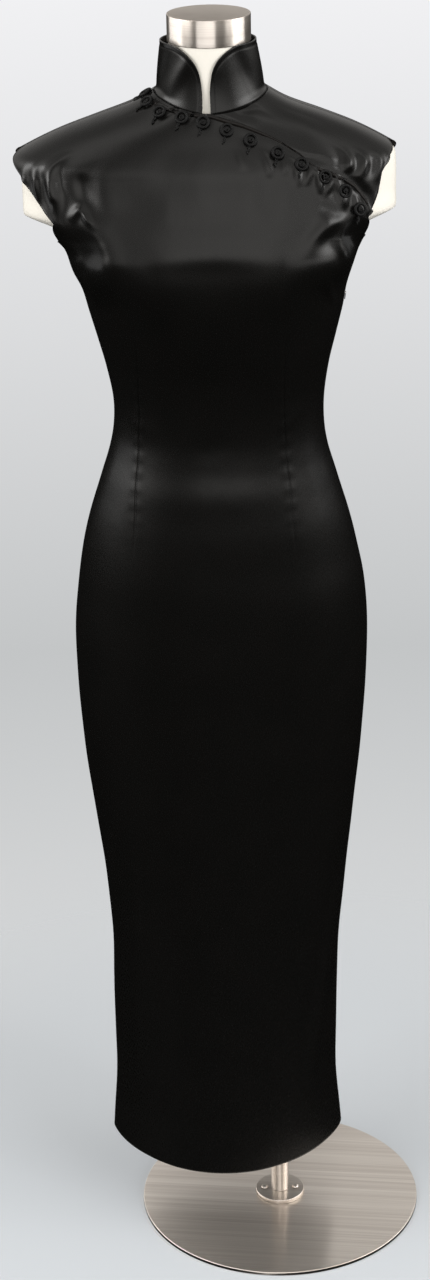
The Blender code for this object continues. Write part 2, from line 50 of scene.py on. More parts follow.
CAMERA_PLACE = (-0.0740, -3.2258, 2.2167)
CAMERA_DIP = math.radians(23.37)
CAMERA_ROLL = math.radians(-1.105)
SENSOR_HEIGHT = 36.0
CAMERA_LENS = 79.33

# Stand and form, as in the frame
PLATE_RADIUS = 0.1854
PLATE_THICKNESS = 0.005
FLANGE_RADIUS = 0.0325
FLANGE_THICKNESS = 0.006
POLE_RADIUS = 0.0117
SCREW_SPREAD = 0.0205
SCREW_RADIUS = 0.0048
SCREW_HEIGHT = 0.0032
SEAT_GAP = 0.0003
TORSO_X = -0.0677
NECK_TOP_Z = 1.568
NECK_RADIUS = 0.0464
CAP_RADIUS = 0.0482
CAP_TOP_Z = 1.600
FORM_BOTTOM_ROW = 7
FORM_INSET = 0.0058
FORM_SHOULDER_INSET = 0.0030
FORM_UNDERARM_INSET = 0.0105
FORM_ARM_LIMITS = (-0.2190, 0.2145)
FORM_ARM_ROUNDING = 0.006
FORM_ARM_SOFTNESS = 4.0
FORM_ARM_REACH = 3.0
FORM_SEAM_BAND = 24.0
FORM_UNDERARM_BAND = (0.5, 1.5)  # levels over the underarm, and levels up or down
FORM_FOOT_LEVELS = 0.3
FORM_NECK_RINGS = 15
FORM_SHARP_ANGLE = math.radians(50)
STEEL_SHARP_ANGLE = math.radians(30)
PLATE_ROUNDING = 0.0012
FLANGE_ROUNDING = 0.0009
POLE_ROUNDING = 0.0004
CAP_ROUNDING = 0.0014
DOME_CUT = 0.0005  # height of a screw head's upright rim

# Cloth
CLOTH = 0.0012
COLLAR_CLOTH = 0.0016
SEAM_GAP = 0.00004
SEAM_COSINE = 0.000001  # a column that lies this near to the side line is on the seam
LAYER_GAP = 0.0008
WALL = 0.0016
OVERLAP_DEPTH = 0.024
OVERLAP_ROLL = 1.7
FORM_CLEARANCE = 0.0008  # the least room between the cloth's inner face and the form
OVERLAP_CLEARANCE = 0.0022
FLAP_CLEARANCE = 0.0003
TROUGH_EASE = 0.0003  # how softly troughs level out over the form
FLAP_RISE = (0.06, 0.55)
FLAP_SIDE_RISE = 0.25
FLAP_CREASE_ONSET = 3.0

# Body sections, a row for each level from the hem to the neckline, as in the part's source
SECTION_COLUMNS = (
    "front_z", "side_z", "back_z", "half_width", "middle_y",
    "front_depth", "back_depth", "square", "round", "shift_x",
)
SECTIONS = np.array((
    (0.1, 0.104, 0.1, 0.1535, 0.022, 0.119, 0.088, 2.05, 1.45, -0.0016),
    (0.19, 0.193, 0.19, 0.1467, 0.021, 0.119, 0.09, 2.05, 1.55, -0.0017),
    (0.3, 0.3, 0.3, 0.147, 0.019, 0.119, 0.093, 2.05, 1.65, -0.0013),
    (0.404, 0.404, 0.404, 0.1482, 0.017, 0.119, 0.097, 2.1, 1.75, 0.0007),
    (0.51, 0.51, 0.51, 0.1563, 0.015, 0.119, 0.102, 2.1, 1.85, 0.0023),
    (0.61, 0.61, 0.61, 0.1673, 0.012, 0.118, 0.108, 2.15, 1.9, 0.0014),
    (0.7, 0.7, 0.7, 0.1763, 0.009, 0.117, 0.115, 2.15, 1.95, 0.0016),
    (0.77, 0.77, 0.77, 0.1802, 0.007, 0.116, 0.121, 2.2, 2.0, 0.0017),
    (0.84, 0.84, 0.84, 0.1813, 0.005, 0.116, 0.125, 2.2, 2.0, 0.0023),
    (0.903, 0.903, 0.903, 0.1766, 0.004, 0.115, 0.123, 2.2, 2.0, 0.003),
    (0.95, 0.95, 0.95, 0.1683, 0.003, 0.112, 0.117, 2.2, 2.0, 0.0019),
    (0.996, 0.996, 0.996, 0.1575, 0.002, 0.108, 0.107, 2.2, 2.0, 0.0018),
    (1.042, 1.042, 1.042, 0.1437, 0.001, 0.101, 0.095, 2.2, 2.0, 0.0023),
    (1.08, 1.08, 1.08, 0.1322, 0.0, 0.095, 0.087, 2.2, 2.0, 0.0026),
    (1.112, 1.112, 1.112, 0.127, 0.0, 0.092, 0.084, 2.2, 2.0, 0.0033),
    (1.147, 1.147, 1.147, 0.1269, 0.0, 0.093, 0.085, 2.25, 2.0, 0.0037),
    (1.185, 1.185, 1.185, 0.1329, 0.0, 0.098, 0.09, 2.3, 2.05, 0.0032),
    (1.221, 1.221, 1.221, 0.1419, 0.0, 0.106, 0.096, 2.35, 2.1, 0.0029),
    (1.255, 1.255, 1.255, 0.1502, 0.0, 0.1135, 0.102, 2.4, 2.15, 0.0023),
    (1.283, 1.283, 1.285, 0.1559, 0.0, 0.1185, 0.106, 2.45, 2.2, 0.0012),
    (1.31, 1.308, 1.313, 0.1643, 0.0, 0.1195, 0.11, 2.45, 2.2, 0.0008),
    (1.342, 1.336, 1.339, 0.1748, 0.0, 0.1165, 0.112, 2.4, 2.2, 0.001),
    (1.362, 1.354, 1.362, 0.1925, 0.0, 0.1125, 0.112, 2.35, 2.25, -0.0022),
    (1.385, 1.373, 1.384, 0.225, 0.0, 0.1045, 0.109, 2.35, 2.25, -0.004),
    (1.409, 1.399, 1.404, 0.2285, 0.0, 0.0965, 0.104, 2.3, 2.2, -0.0055),
    (1.425, 1.424, 1.418, 0.229, 0.0, 0.0905, 0.099, 2.3, 2.2, -0.006),
    (1.435, 1.4413, 1.424, 0.2245, 0.0, 0.087, 0.095, 2.3, 2.15, -0.006),
    (1.446, 1.4525, 1.437, 0.208, 0.0, 0.082, 0.09, 2.3, 2.1, -0.005),
    (1.46, 1.4695, 1.455, 0.1731, 0.0, 0.075, 0.083, 2.25, 2.05, -0.003),
    (1.474, 1.484, 1.478, 0.1346, 0.0, 0.0685, 0.075, 2.2, 2.0, -0.001),
    (1.487, 1.4985, 1.498, 0.0939, 0.0, 0.062, 0.067, 2.1, 2.0, 0.0),
    (1.4965, 1.513, 1.519, 0.0667, 0.0, 0.0565, 0.058, 2.05, 2.0, 0.0007),
))
HEM_ROW = 0
CHEST_ROW = 20
UNDERARM_ROW = 21
SHOULDER_TIP_ROW = 26
NECK_ROW = 31

# Armholes: degrees that each panel's edge stands back from the side line, a row for each level
# from the underarm up. Left and right are the viewer's.
ARMHOLE_COLUMNS = ("front_left", "front_right", "back")
ARMHOLES = np.array((
    (0.0, 0.0, 0.0),
    (26.0, 26.0, 22.0),
    (38.0, 36.0, 30.0),
    (31.0, 31.0, 27.0),
    (22.0, 29.0, 21.0),
    (7.0, 20.0, 9.0),
    (0.0, 0.0, 0.0),
))

# The overlap's edge: x from the torso's middle, and height
OVERLAP_X = (-0.010, 0.000, 0.027, 0.054, 0.080, 0.104, 0.126, 0.146, 0.163, 0.176, 0.186)
OVERLAP_Z = (1.500, 1.4965, 1.4870, 1.4735, 1.4600, 1.4490, 1.4405, 1.4310, 1.4165, 1.3990, 1.3760)

BUST_X = 0.082
BUST_Z = 1.318
BUST_SPREAD = (0.046, 0.045)
BUST_HEIGHT = 0.0070

# Creases in millimetres: x and height of both ends, spread and crest of the crease, and how far
# its middle bows to the right. A crest below zero is a trough.
MM = 0.001
CREASE_SWELL = 1.3
CREASE_COLUMNS = ("x0", "z0", "x1", "z1", "spread", "crest", "bow")
FRONT_CREASES = np.array((
    # left shoulder down to the armhole
    (-212, 1440, -215, 1390, 4.6, 3, 1),
    (-197, 1445, -198, 1392, 4.2, 3.6, 1),
    (-183, 1444, -179, 1398, 4, 3.2, 0),
    (-164, 1456, -159, 1358, 7.4, 7.4, 7),
    (-172, 1444, -169, 1408, 3.4, -2, 0),
    (-148, 1440, -144, 1396, 7.5, -3, 0),
    (-164, 1380, -145, 1404, 3.8, 2.8, 0),
    (-150, 1399, -136, 1374, 4, 2.8, 0),
    (-131, 1450, -129, 1376, 9, -2, 0),
    (-182, 1406, -176, 1374, 7, -2.4, 0),
    (-130, 1396, -119, 1304, 14, 4.6, 2),
    (-169, 1364, -150, 1320, 8.5, 2, 2),
    (-143, 1324, -133, 1270, 8.5, 1.8, 2),
    # chest, soft waves under the neckline
    (-48, 1470, -45, 1390, 10, -0.6, 3),
    (-6, 1470, -8, 1380, 9, 0.6, -2),
    (39, 1450, 38, 1370, 9.5, 0.7, 2),
    (61, 1445, 59, 1380, 8, -0.7, 0),
    (84, 1435, 82, 1375, 9, 0.8, 1),
    # puckers between the ring buttons
    (33, 1460, 37, 1436, 3.4, 1.2, 0),
    (60, 1460, 65, 1426, 3.6, 1.9, 0),
    (85, 1454, 80, 1428, 3.4, 1.6, 0),
    (90, 1452, 98, 1415, 3.6, 2.5, 0),
    (114, 1444, 106, 1416, 3.4, 2, 0),
    (116, 1444, 124, 1404, 3.8, 3.4, 0),
    (138, 1430, 128, 1402, 3.4, 2.6, 0),
    (140, 1434, 150, 1390, 3.8, 3.6, 0),
    (160, 1416, 150, 1386, 3.6, 2.8, -2),
    (164, 1408, 166, 1376, 3.6, 2.4, 0),
    # right bust and armhole
    (129, 1408, 108, 1338, 11, 5.6, 3),
    (120, 1401, 146, 1376, 8, -3.6, 0),
    (154, 1386, 160, 1330, 6, -2.2, 0),
    (142, 1384, 146, 1325, 6, 4, 0),
    (170, 1394, 168, 1336, 5, 3.2, 0),
    (118, 1320, 142, 1265, 5, 2.2, 1),
    # the fullness between the bust and each armhole
    (-186, 1324, -68, 1314, 28, 10, 0),
    (-178, 1347, -70, 1335, 25, 5.6, 0),
    (80, 1320, 170, 1330, 25, 10, 0),
    (80, 1334, 170, 1346, 24, 6, 0),
    (-130, 1406, -50, 1400, 28, -2.6, 0),
    # the taut line over the bust, and the one over the belly
    (-145, 1331, 120, 1333, 13, 1.4, 12),
    (-115, 1042, 115, 1042, 24, 1.8, 4),
    # waist
    (-108, 1140, -65, 1118, 11, 0.7, 0),
    (108, 1150, 70, 1123, 11, 0.8, 0),
    (25, 1113, -35, 1104, 12, -0.5, 0),
    # skirt
    (153, 540, 100, 175, 12.5, 3.8, 4),
    (125, 430, 86, 140, 15, -2.2, 3),
    (-113, 650, -127, 170, 14, 3.2, 1),
    (-82, 380, -98, 110, 15, -2, 0),
    (20, 330, 10, 100, 20, 1.2, 0),
)) * MM
# Creases of the back panel
BACK_CREASES = np.array((
    (-190, 1430, -176, 1370, 7.5, 2.4, 2),
    (-160, 1445, -150, 1385, 8.5, -2.2, 0),
    (186, 1430, 172, 1365, 7.5, 2.4, -2),
    (158, 1440, 146, 1380, 8.5, -2, 0),
    (-120, 1300, -70, 1190, 12, 2.2, 4),
    (118, 1290, 66, 1185, 12, 2, -4),
    (-60, 1150, 50, 1138, 11, 1.2, 0),
    (55, 1115, -45, 1104, 12, -1, 0),
    (-100, 660, -118, 170, 15, 3, 2),
    (106, 620, 120, 160, 15, 3, -2),
    (30, 520, 22, 120, 20, -2, 0),
    (-45, 460, -52, 110, 18, 1.8, 0),
)) * MM
# Creases of the flap over the right shoulder
FLAP_CREASES = np.array((
    (144, 1458, 140, 1428, 4.2, -1.8, 0),
    (153.4, 1456, 151, 1424, 3.6, 2, 0),
    (161.1, 1452, 161, 1422, 3.6, -1.8, 0),
    (169, 1453, 168, 1418, 3.8, 2.4, 0),
    (179, 1449, 179, 1417, 3.6, -1.8, 0),
    (187, 1450, 188, 1412, 3.8, 2.2, 0),
    (198, 1448, 196, 1410, 4.2, 2.2, 0),
    (70, 1496, 40, 1482, 6.5, 2, 0),
    (36, 1498, 64, 1502, 5, -1.8, 0),
    (105, 1490, 115, 1456, 11, 1.4, 0),
)) * MM

# Darts, as sewn lines: x from the torso's middle at each height
DART_Z = (0.975, 1.015, 1.060, 1.110, 1.160, 1.210, 1.245)
FRONT_DART_LEFT_X = (-0.1010, -0.0985, -0.0955, -0.0920, -0.0905, -0.0905, -0.0910)
FRONT_DART_RIGHT_X = (0.0925, 0.0885, 0.0850, 0.0815, 0.0800, 0.0800, 0.0810)
BACK_DART_X = (0.0900, 0.0860, 0.0810, 0.0760, 0.0750, 0.0760, 0.0780)
DART_DEPTH = 0.0008
DART_WIDTH = 0.0016
DART_SWELL = 0.6
DART_PUFF = (0.0005, 0.004, 0.0075)  # height, distance from the stitches, width
DART_GATHERS = (0.5, 330)  # share of the puff, radians a metre
DART_CLUSTER = (0.72, 0.035)  # how strongly and how far the mesh's columns draw in

# Slow unevenness of hanging satin: waves across and up, in radians a metre, and its height
SETTLE_WAVES = ((41.0, 17.0, 1.3), (23.0, -37.0, 0.4), (13.0, 61.0, 2.2), (71.0, -9.0, 0.9))
SETTLE_HEIGHT = 0.00016
GIRTH_RADIUS = 0.155

# Rolled and pressed edges: height and reach of the roll, depth, place and width of its stitch line
EDGE_ROLL = (0.0005, 0.0016)
EDGE_STITCH = (0.0003, 0.0042, 0.0008)
EDGE_EASE = 0.5  # levels over which an armhole's roll comes and goes
ARMHOLE_TOP_ROW = 27
HEM_FOLD = (0.0001, 0.003)
HEM_STEP = (0.00018, 0.042, 0.0016)  # depth, place over the hem and width
OVERLAP_DROP = 0.0135  # metres that a level stands for under the overlap's edge
OVERLAP_ONSET = 12.0  # its roll comes in over a twelfth of the panel's half width

# Collar
COLLAR_TOP_Z = 1.574
COLLAR_OPENING = (math.radians(-8.8), math.radians(-0.4))
COLLAR_LEAN = (0.115, 0.065)
COLLAR_FLARE = (0.070, 0.098)
COLLAR_FLARE_RISE = (0.14, 0.55)
COLLAR_SEAM_DEPTH = 0.0012
COLLAR_BULGE = 0.0012
COLLAR_DRIFT = -0.0020
COLLAR_EDGE_REACH = (0.0, 0.0020, 0.0045, 0.0085, 0.0140, 0.0220, 0.0310, 0.0400, 0.0520)
COLLAR_EDGE_Z = (1.5190, 1.5345, 1.5430, 1.5505, 1.5565, 1.5620, 1.5660, 1.5690, 1.5705)
COLLAR_EDGE_SMOOTHING = 7  # columns
COLLAR_EDGE_WIDTH = 0.8
COLLAR_ROW_CROWDING = 0.8
COLLAR_BULGE_SKEW = 0.7
# Its creases: place round the neck in degrees, degrees that they drift over its height, spread in
# degrees and crest
COLLAR_CREASES = (
    (-62.0, 20.0, 8.0, -0.0012),
    (-36.0, 44.0, 10.0, 0.002),
    (-12.0, 20.0, 7.0, -0.0006),
    (18.0, -14.0, 12.0, 0.0016),
    (44.0, -20.0, 9.0, -0.002),
    (66.0, -14.0, 10.0, 0.0014),
    (150.0, 18.0, 14.0, 0.001),
    (205.0, -16.0, 14.0, -0.001),
)

# Ring buttons: x from the torso's middle, and height
BUTTONS = (
    (-0.0757, 1.509), (-0.0718, 1.504), (-0.0576, 1.4965), (-0.0325, 1.4925),
    (-0.0086, 1.4878), (0.0183, 1.4794), (0.0451, 1.4684), (0.0756, 1.454),
    (0.1024, 1.4412), (0.1286, 1.4265), (0.151, 1.409), (0.1674, 1.387),
)
RING_RADIUS = 0.0064
CORD_RADIUS = 0.0017
TAIL_CORD = 0.0008
TAIL_LENGTH = 0.0105
TAIL_SWAY = 0.0011
TAIL_ANGLE = math.radians(-108)
TAIL_SHORTER = 0.2  # share that the second tail is shorter by
TAIL_SINK = 0.8
KNOT_COIL = (0.0028, 0.0010, 1.7)  # radius of the coil, of its cord, and its turns
COIL_TAPER = (1.05, 0.75)
COIL_RISE = 0.0008
BUTTON_CLEARANCE = 0.0004
BUTTON_DENT = (0.0010, 0.0085)  # depth and reach

# Mesh steps
FRONT_STEPS = (190, 252)
BACK_STEPS = (110, 250)
# How far apart rows lie, by height, and columns, by share of the panel's half width
ROW_SPACING = (
    (0.104, 0.0014), (0.11, 0.003), (0.125, 0.012), (0.95, 0.0095), (1.02, 0.005),
    (1.25, 0.0042), (1.32, 0.0023), (1.513, 0.0018),
)
COLUMN_SPACING = ((-1.0, 0.8), (-0.36, 0.8), (-0.28, 1.7), (0.0, 1.7), (0.08, 0.9), (1.0, 0.75))
# Levels under the neckline of the front's last rows
EDGE_LEVELS = (0.45, 0.36, 0.29, 0.23, 0.18, 0.135, 0.10, 0.07, 0.045, 0.022, 0.0)
FLAP_STEPS = (70, 70)
COLLAR_STEPS = (200, 40)
FORM_STEPS = (180, 150)
FINE_STEPS = 2000
SEARCH_STEPS = 30
RING_STEPS = 36
TAIL_STEPS = 12
TAIL_WAVES = 2.6
MOST_SINE = 0.9995

# Backdrop and floor. The backdrop's shade goes by the sine of its height over the horizon.
BACKDROP_STOPS = (
    (-1.0, "dcdddf"), (-0.55, "dfe0e1"), (-0.40, "c3c5c6"), (-0.18, "f1f1f3"), (1.0, "f4f4f5"),
)
FLOOR_RADIUS = 1.1
FLOOR_FADE = (0.45, 0.97)

# The room's light: degrees over the horizon and strength, then degrees round from the front
# (to the right) and strength
ROOM_HEIGHTS = (
    (-90, 0.004), (-11, 0.004), (-6, 0.02), (-2, 0.11), (2, 0.38), (5, 0.78), (9, 1.0),
    (26, 1.0), (34, 0.76), (42, 0.5), (90, 0.42),
)
ROOM_TURNS = (
    (-180, 0.48), (-140, 0.55), (-108, 0.75), (-84, 1.6), (-62, 2.0), (-48, 1.1), (-37, 0.28),
    (-24, 0.26), (-13, 0.62), (-3, 0.97), (14, 1.0), (26, 0.8), (40, 0.62), (52, 1.15), (70, 1.8),
    (84, 1.45), (108, 0.7), (140, 0.55), (180, 0.48),
)
ROOM_TINT = (1.0, 0.975, 0.94)
ROOM_STRENGTH = 1.2

# Lamps: azimuth from the front in degrees, height of the middle, distance, width, height and
# watts. Fills light the dull surfaces alone, strips the steel alone, and the last the round base.
LAMP_COLUMNS = ("kind", "azimuth", "height", "distance", "width", "tall", "watts")
LAMPS = (
    ("softbox", -72.0, 2.35, 2.3, 1.8, 0.9, 15.0),
    ("softbox", 66.0, 2.35, 2.3, 1.6, 0.9, 12.0),
    ("softbox", -96.0, 1.14, 1.2, 0.9, 0.30, 0.7),
    ("softbox", 98.0, 1.14, 1.2, 0.8, 0.30, 0.4),
    ("fill", -40.0, 1.7, 2.6, 1.4, 1.4, 20.0),
    ("fill", 40.0, 1.7, 2.6, 1.4, 1.4, 28.0),
    ("strip", -108.0, 1.1, 2.2, 2.2, 3.4, 34.0),
    ("strip", -9.0, 1.1, 2.4, 2.3, 3.4, 38.0),
    ("strip", 90.0, 1.1, 2.2, 1.7, 3.4, 30.0),
    ("plate", 174.0, 1.7, 2.3, 3.0, 1.8, 9.0),
)
LIGHT_AIM_Z = 1.1


def section(name, level):
    """A column of the sections, joined by a smooth curve, at any level."""
    column = SECTIONS[:, SECTION_COLUMNS.index(name)]
    ends = (2 * column[0] - column[1], 2 * column[-1] - column[-2])
    padded = np.concatenate(([ends[0]], column, [ends[1]]))
    level = np.clip(level, 0, len(column) - 1)
    row = np.minimum(level.astype(int), len(column) - 2)
    part = level - row
    before, low, high, after = (padded[row + step] for step in range(4))
    bend = 2 * before - 5 * low + 4 * high - after
    twist = 3 * (low - high) + after - before
    return low + 0.5 * part * (high - before + part * (bend + part * twist))


def bust(x, z):
    """How far the bust carries the front forward."""
    across = np.exp(-(((np.abs(x) - BUST_X) / BUST_SPREAD[0]) ** 2))
    return BUST_HEIGHT * across * np.exp(-(((z - BUST_Z) / BUST_SPREAD[1]) ** 2))


def body(angle, level):
    """A point of the body surface. angle is 0 at the middle front and 90 degrees at the right side."""
    sine, cosine = np.sin(angle), np.cos(angle)
    front = cosine >= 0
    depth = np.where(front, -section("front_depth", level), section("back_depth", level))
    middle_z = np.where(front, section("front_z", level), section("back_z", level))
    side_z = section("side_z", level)
    fall = 1 - np.abs(sine) ** section("square", level)
    x = section("half_width", level) * sine
    y = section("middle_y", level) + depth * np.maximum(fall, 0) ** (1 / section("round", level))
    z = side_z + (middle_z - side_z) * cosine**2
    y = y - np.where(front, bust(x, z) * cosine**2, 0)
    return np.stack((x + section("shift_x", level), y, z), axis=-1)


def outward(angle, level):
    """The body surface's normal."""
    turn, climb = 0.004, 0.02
    across = body(angle + turn, level) - body(angle - turn, level)
    high = np.minimum(level + climb, NECK_ROW)
    low = np.maximum(level - climb, HEM_ROW)
    along = body(angle, high) - body(angle, low)
    normal = np.cross(across, along)
    return normal / np.linalg.norm(normal, axis=-1, keepdims=True)


def round_place(x, z):
    """How far round the body, in metres from its middle, a point with this x and height lies."""
    level = np.interp(z, SECTIONS[:, 1], np.arange(len(SECTIONS)))
    sine = (x - section("shift_x", level)) / section("half_width", level)
    return np.arcsin(np.clip(sine, -MOST_SINE, MOST_SINE)) * GIRTH_RADIUS


def crease_height(place, z, creases):
    """The creases' height over the smooth cloth, at a place round the body and a height."""
    total = np.zeros_like(place)
    for row in creases:
        crease = dict(zip(CREASE_COLUMNS, row))
        ends_x = np.array((crease["x0"], crease["x1"]))
        ends_z = np.array((crease["z0"], crease["z1"]))
        start, finish = round_place(ends_x, ends_z)
        run = np.array((finish - start, ends_z[1] - ends_z[0]))
        length = np.linalg.norm(run)
        run = run / length
        along = (place - start) * run[0] + (z - ends_z[0]) * run[1]
        aside = (place - start) * -run[1] + (z - ends_z[0]) * run[0]
        share = np.clip(along / length, 0, 1)
        aside = aside - crease["bow"] * np.sin(math.pi * share)
        swell = np.sin(math.pi * share) ** CREASE_SWELL
        total += crease["crest"] * swell * np.exp(-((aside / crease["spread"]) ** 2))
    return total


def dent_height(place, z):
    """Small dents where the ring buttons are sewn on and pull the overlap in."""
    total = np.zeros_like(place)
    for x, height in BUTTONS:
        centre = round_place(np.array([x]), np.array([height]))[0]
        away = (place - centre) ** 2 + (z - height) ** 2
        total -= BUTTON_DENT[0] * np.exp(-away / BUTTON_DENT[1] ** 2)
    return total


def settle_height(place, z):
    """The slow unevenness of the hanging cloth."""
    total = np.zeros_like(place)
    for across, up, start in SETTLE_WAVES:
        total += np.sin(across * place + up * z + start)
    return SETTLE_HEIGHT * total


def dart_height(place, z, dart_x):
    """A sewn dart: a narrow trough between two soft puffs, fading at both ends."""
    middle = np.interp(z, DART_Z, round_place(np.array(dart_x), np.array(DART_Z)))
    share = np.clip((z - DART_Z[0]) / (DART_Z[-1] - DART_Z[0]), 0, 1)
    swell = np.sin(math.pi * share) ** DART_SWELL
    trough = DART_DEPTH * np.exp(-(((place - middle) / DART_WIDTH) ** 2))
    gathers = 1 + DART_GATHERS[0] * np.sin(z * DART_GATHERS[1])
    height, distance, width = DART_PUFF
    puff = height * gathers * np.exp(-(((np.abs(place - middle) - distance) / width) ** 2))
    return (puff - trough) * swell


def edge_height(distance):
    """A rolled edge and the stitch line beside it, at a distance from the edge."""
    roll = EDGE_ROLL[0] * np.exp(-((distance / EDGE_ROLL[1]) ** 2))
    return roll - EDGE_STITCH[0] * np.exp(-(((distance - EDGE_STITCH[1]) / EDGE_STITCH[2]) ** 2))


def armhole_angle(name, level):
    """The angle, in radians, at which a panel ends at this level."""
    rows = np.arange(len(ARMHOLES)) + UNDERARM_ROW
    back = np.interp(level, rows, ARMHOLES[:, ARMHOLE_COLUMNS.index(name)])
    return math.pi / 2 - np.radians(back)


def level_under_edge(share, drop):
    """The levels where the right half's columns, at these shares of its width, meet the edge."""
    low = np.full_like(share, float(UNDERARM_ROW))
    high = np.full_like(share, float(NECK_ROW))
    for _ in range(SEARCH_STEPS):
        level = (low + high) / 2
        point = body(share * armhole_angle("front_right", level), level)
        above = point[..., 2] > np.interp(point[..., 0], OVERLAP_X, OVERLAP_Z) - drop
        high = np.where(above, level, high)
        low = np.where(above, low, level)
    return (low + high) / 2


def angle_and_level(x, z):
    """Where on the front surface a point with this x and height lies."""
    low, high = float(CHEST_ROW), float(NECK_ROW)
    for _ in range(SEARCH_STEPS):
        level = np.array((low + high) / 2)
        sine = (x - section("shift_x", level)) / section("half_width", level)
        angle = math.asin(max(-MOST_SINE, min(MOST_SINE, float(sine))))
        if body(np.array(angle), level)[2] > z:
            high = float(level)
        else:
            low = float(level)
    return np.array(angle), np.array((low + high) / 2)


def spaced(spacing, count):
    """Places from the first stop to the last, as far apart as the stops ask, count steps in all."""
    places, steps = zip(*spacing)
    fine = np.linspace(places[0], places[-1], FINE_STEPS)
    crowding = 1 / np.interp(fine, places, steps)
    run = np.concatenate(([0.0], np.cumsum((crowding[1:] + crowding[:-1]) / 2)))
    return np.interp(np.linspace(0, run[-1], count + 1), run, fine)


def levels_up(count):
    """Levels from the hem to the neckline, close together where the cloth creases."""
    heights = spaced(ROW_SPACING, count)
    return np.interp(heights, SECTIONS[:, 1], np.arange(len(SECTIONS)))


def clustered(shares, level, dart_x, armhole):
    """Shares of a panel's width drawn closer together near its two darts."""
    height = section("side_z", level)
    moved = shares
    for side in dart_x:
        centre = np.interp(height, DART_Z, round_place(np.array(side), np.array(DART_Z)))
        centre = centre / GIRTH_RADIUS / armhole
        away = shares - centre
        pull, reach = DART_CLUSTER
        width = reach / GIRTH_RADIUS / (math.pi / 2)
        moved = moved - pull * away * np.exp(-((away / width) ** 2))
    return moved


def mesh_from(name, bm):
    """A mesh of what was built in bm, which is freed."""
    data = bpy.data.meshes.new(name)
    bm.to_mesh(data)
    bm.free()
    return data


def grid_mesh(name, points, uv):
    """A grid of cloth whose vertices take their places from points, with its uv in metres."""
    columns, rows = points.shape[0] - 1, points.shape[1] - 1
    bm = bmesh.new()
    bmesh.ops.create_grid(bm, x_segments=columns, y_segments=rows, size=1)
    data = mesh_from(name, bm)
    places = np.zeros(len(data.vertices) * 3)
    data.vertices.foreach_get("co", places)
    places = places.reshape(-1, 3)
    column = np.rint((places[:, 0] + 1) / 2 * columns).astype(int)
    row = np.rint((places[:, 1] + 1) / 2 * rows).astype(int)
    data.vertices.foreach_set("co", points[column, row].ravel())
    corner = np.zeros(len(data.loops), dtype=int)
    data.loops.foreach_get("vertex_index", corner)
    layer = data.uv_layers.new(name="cut")
    layer.data.foreach_set("uv", uv[column, row][corner].ravel())
    data.shade_smooth()
    data.update()
    return data


def put_in_scene(name, data):
    """A new object at the origin, linked to the scene."""
    made = bpy.data.objects.new(name, data)
    bpy.context.scene.collection.objects.link(made)
    return made


def place_piece(name, data, looks):
    """A new object with its materials, riding on the frame."""
    piece = put_in_scene(name, data)
    for look in looks:
        data.materials.append(look)
    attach(piece, "root")
    return piece


def cut_uv(points):
    """A uv in metres: across the cloth from its middle column, and up by height."""
    steps = np.linalg.norm(np.diff(points, axis=0), axis=-1)
    across = np.concatenate((np.zeros((1, points.shape[1])), np.cumsum(steps, axis=0)))
    across = across - across[points.shape[0] // 2]
    return np.stack((across, points[..., 2]), axis=-1)


def cloth_piece(name, points, looks, thickness, node):
    """A shell of cloth through the points, thickened inwards, its second material on the inside."""
    piece = place_piece(name, grid_mesh(name, points, cut_uv(points)), looks)
    solidify = piece.modifiers.new("cloth", "SOLIDIFY")
    solidify.thickness = thickness
    solidify.offset = -1
    solidify.use_even_offset = False
    solidify.material_offset = 1
    solidify.material_offset_rim = 0
    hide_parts(node)
    return piece


def form_inset(angle, level):
    """How far the form's shell lies inside the smooth cloth."""
    from_seam = np.degrees(np.arccos(np.minimum(np.abs(np.sin(angle)), 1)))
    near_seam = np.clip(1 - from_seam / FORM_SEAM_BAND, 0, 1) ** 2
    on_shoulder = np.clip(level - SHOULDER_TIP_ROW, 0, 1)
    middle, reach = FORM_UNDERARM_BAND
    underarm = np.clip(1 - np.abs(level - UNDERARM_ROW - middle) / reach, 0, 1)
    plain = FORM_INSET + (FORM_UNDERARM_INSET - FORM_INSET) * underarm
    return plain + (FORM_SHOULDER_INSET - plain) * near_seam * on_shoulder


def draped(angle, level, lift, facing, extra, clearance=FORM_CLEARANCE):
    """Points of the front (facing -1) or back (facing 1) at lift over the body, with creases.

    Troughs level out where the cloth would come nearer to the form than the clearance.
    """
    point = body(angle, level)
    place = np.where(facing < 0, angle, math.pi - angle) * GIRTH_RADIUS
    height = point[..., 2]
    creases = FRONT_CREASES if facing < 0 else BACK_CREASES
    lift = lift + crease_height(place, height, creases) + settle_height(place, height) + extra
    if facing < 0:
        lift = lift + dart_height(place, height, FRONT_DART_LEFT_X)
        lift = lift + dart_height(place, height, FRONT_DART_RIGHT_X) + dent_height(place, height)
    else:
        lift = lift + dart_height(place, height, BACK_DART_X)
        lift = lift + dart_height(place, height, [-x for x in BACK_DART_X])
    lowest = CLOTH + clearance - form_inset(angle, level)
    lift = lowest + np.logaddexp(0, (lift - lowest) / TROUGH_EASE) * TROUGH_EASE
    point = point + outward(angle, level) * lift[..., None]
    seam = section("middle_y", level) + facing * SEAM_GAP / 2
    beside_seam = facing * np.maximum(facing * point[..., 1], facing * seam)
    point[..., 1] = np.where(np.abs(np.cos(angle)) < SEAM_COSINE, seam, beside_seam)
    point[..., 0] += TORSO_X
    return point


def armhole_edge(shares, level, armhole):
    """A rolled edge along the armhole, at each point's distance from the panel's side."""
    distance = (1 - np.abs(shares)) * armhole * section("half_width", level)
    above = np.clip((level - UNDERARM_ROW) / EDGE_EASE, 0, 1)
    below = np.clip((ARMHOLE_TOP_ROW - level) / EDGE_EASE, 0, 1)
    return edge_height(distance) * above * below


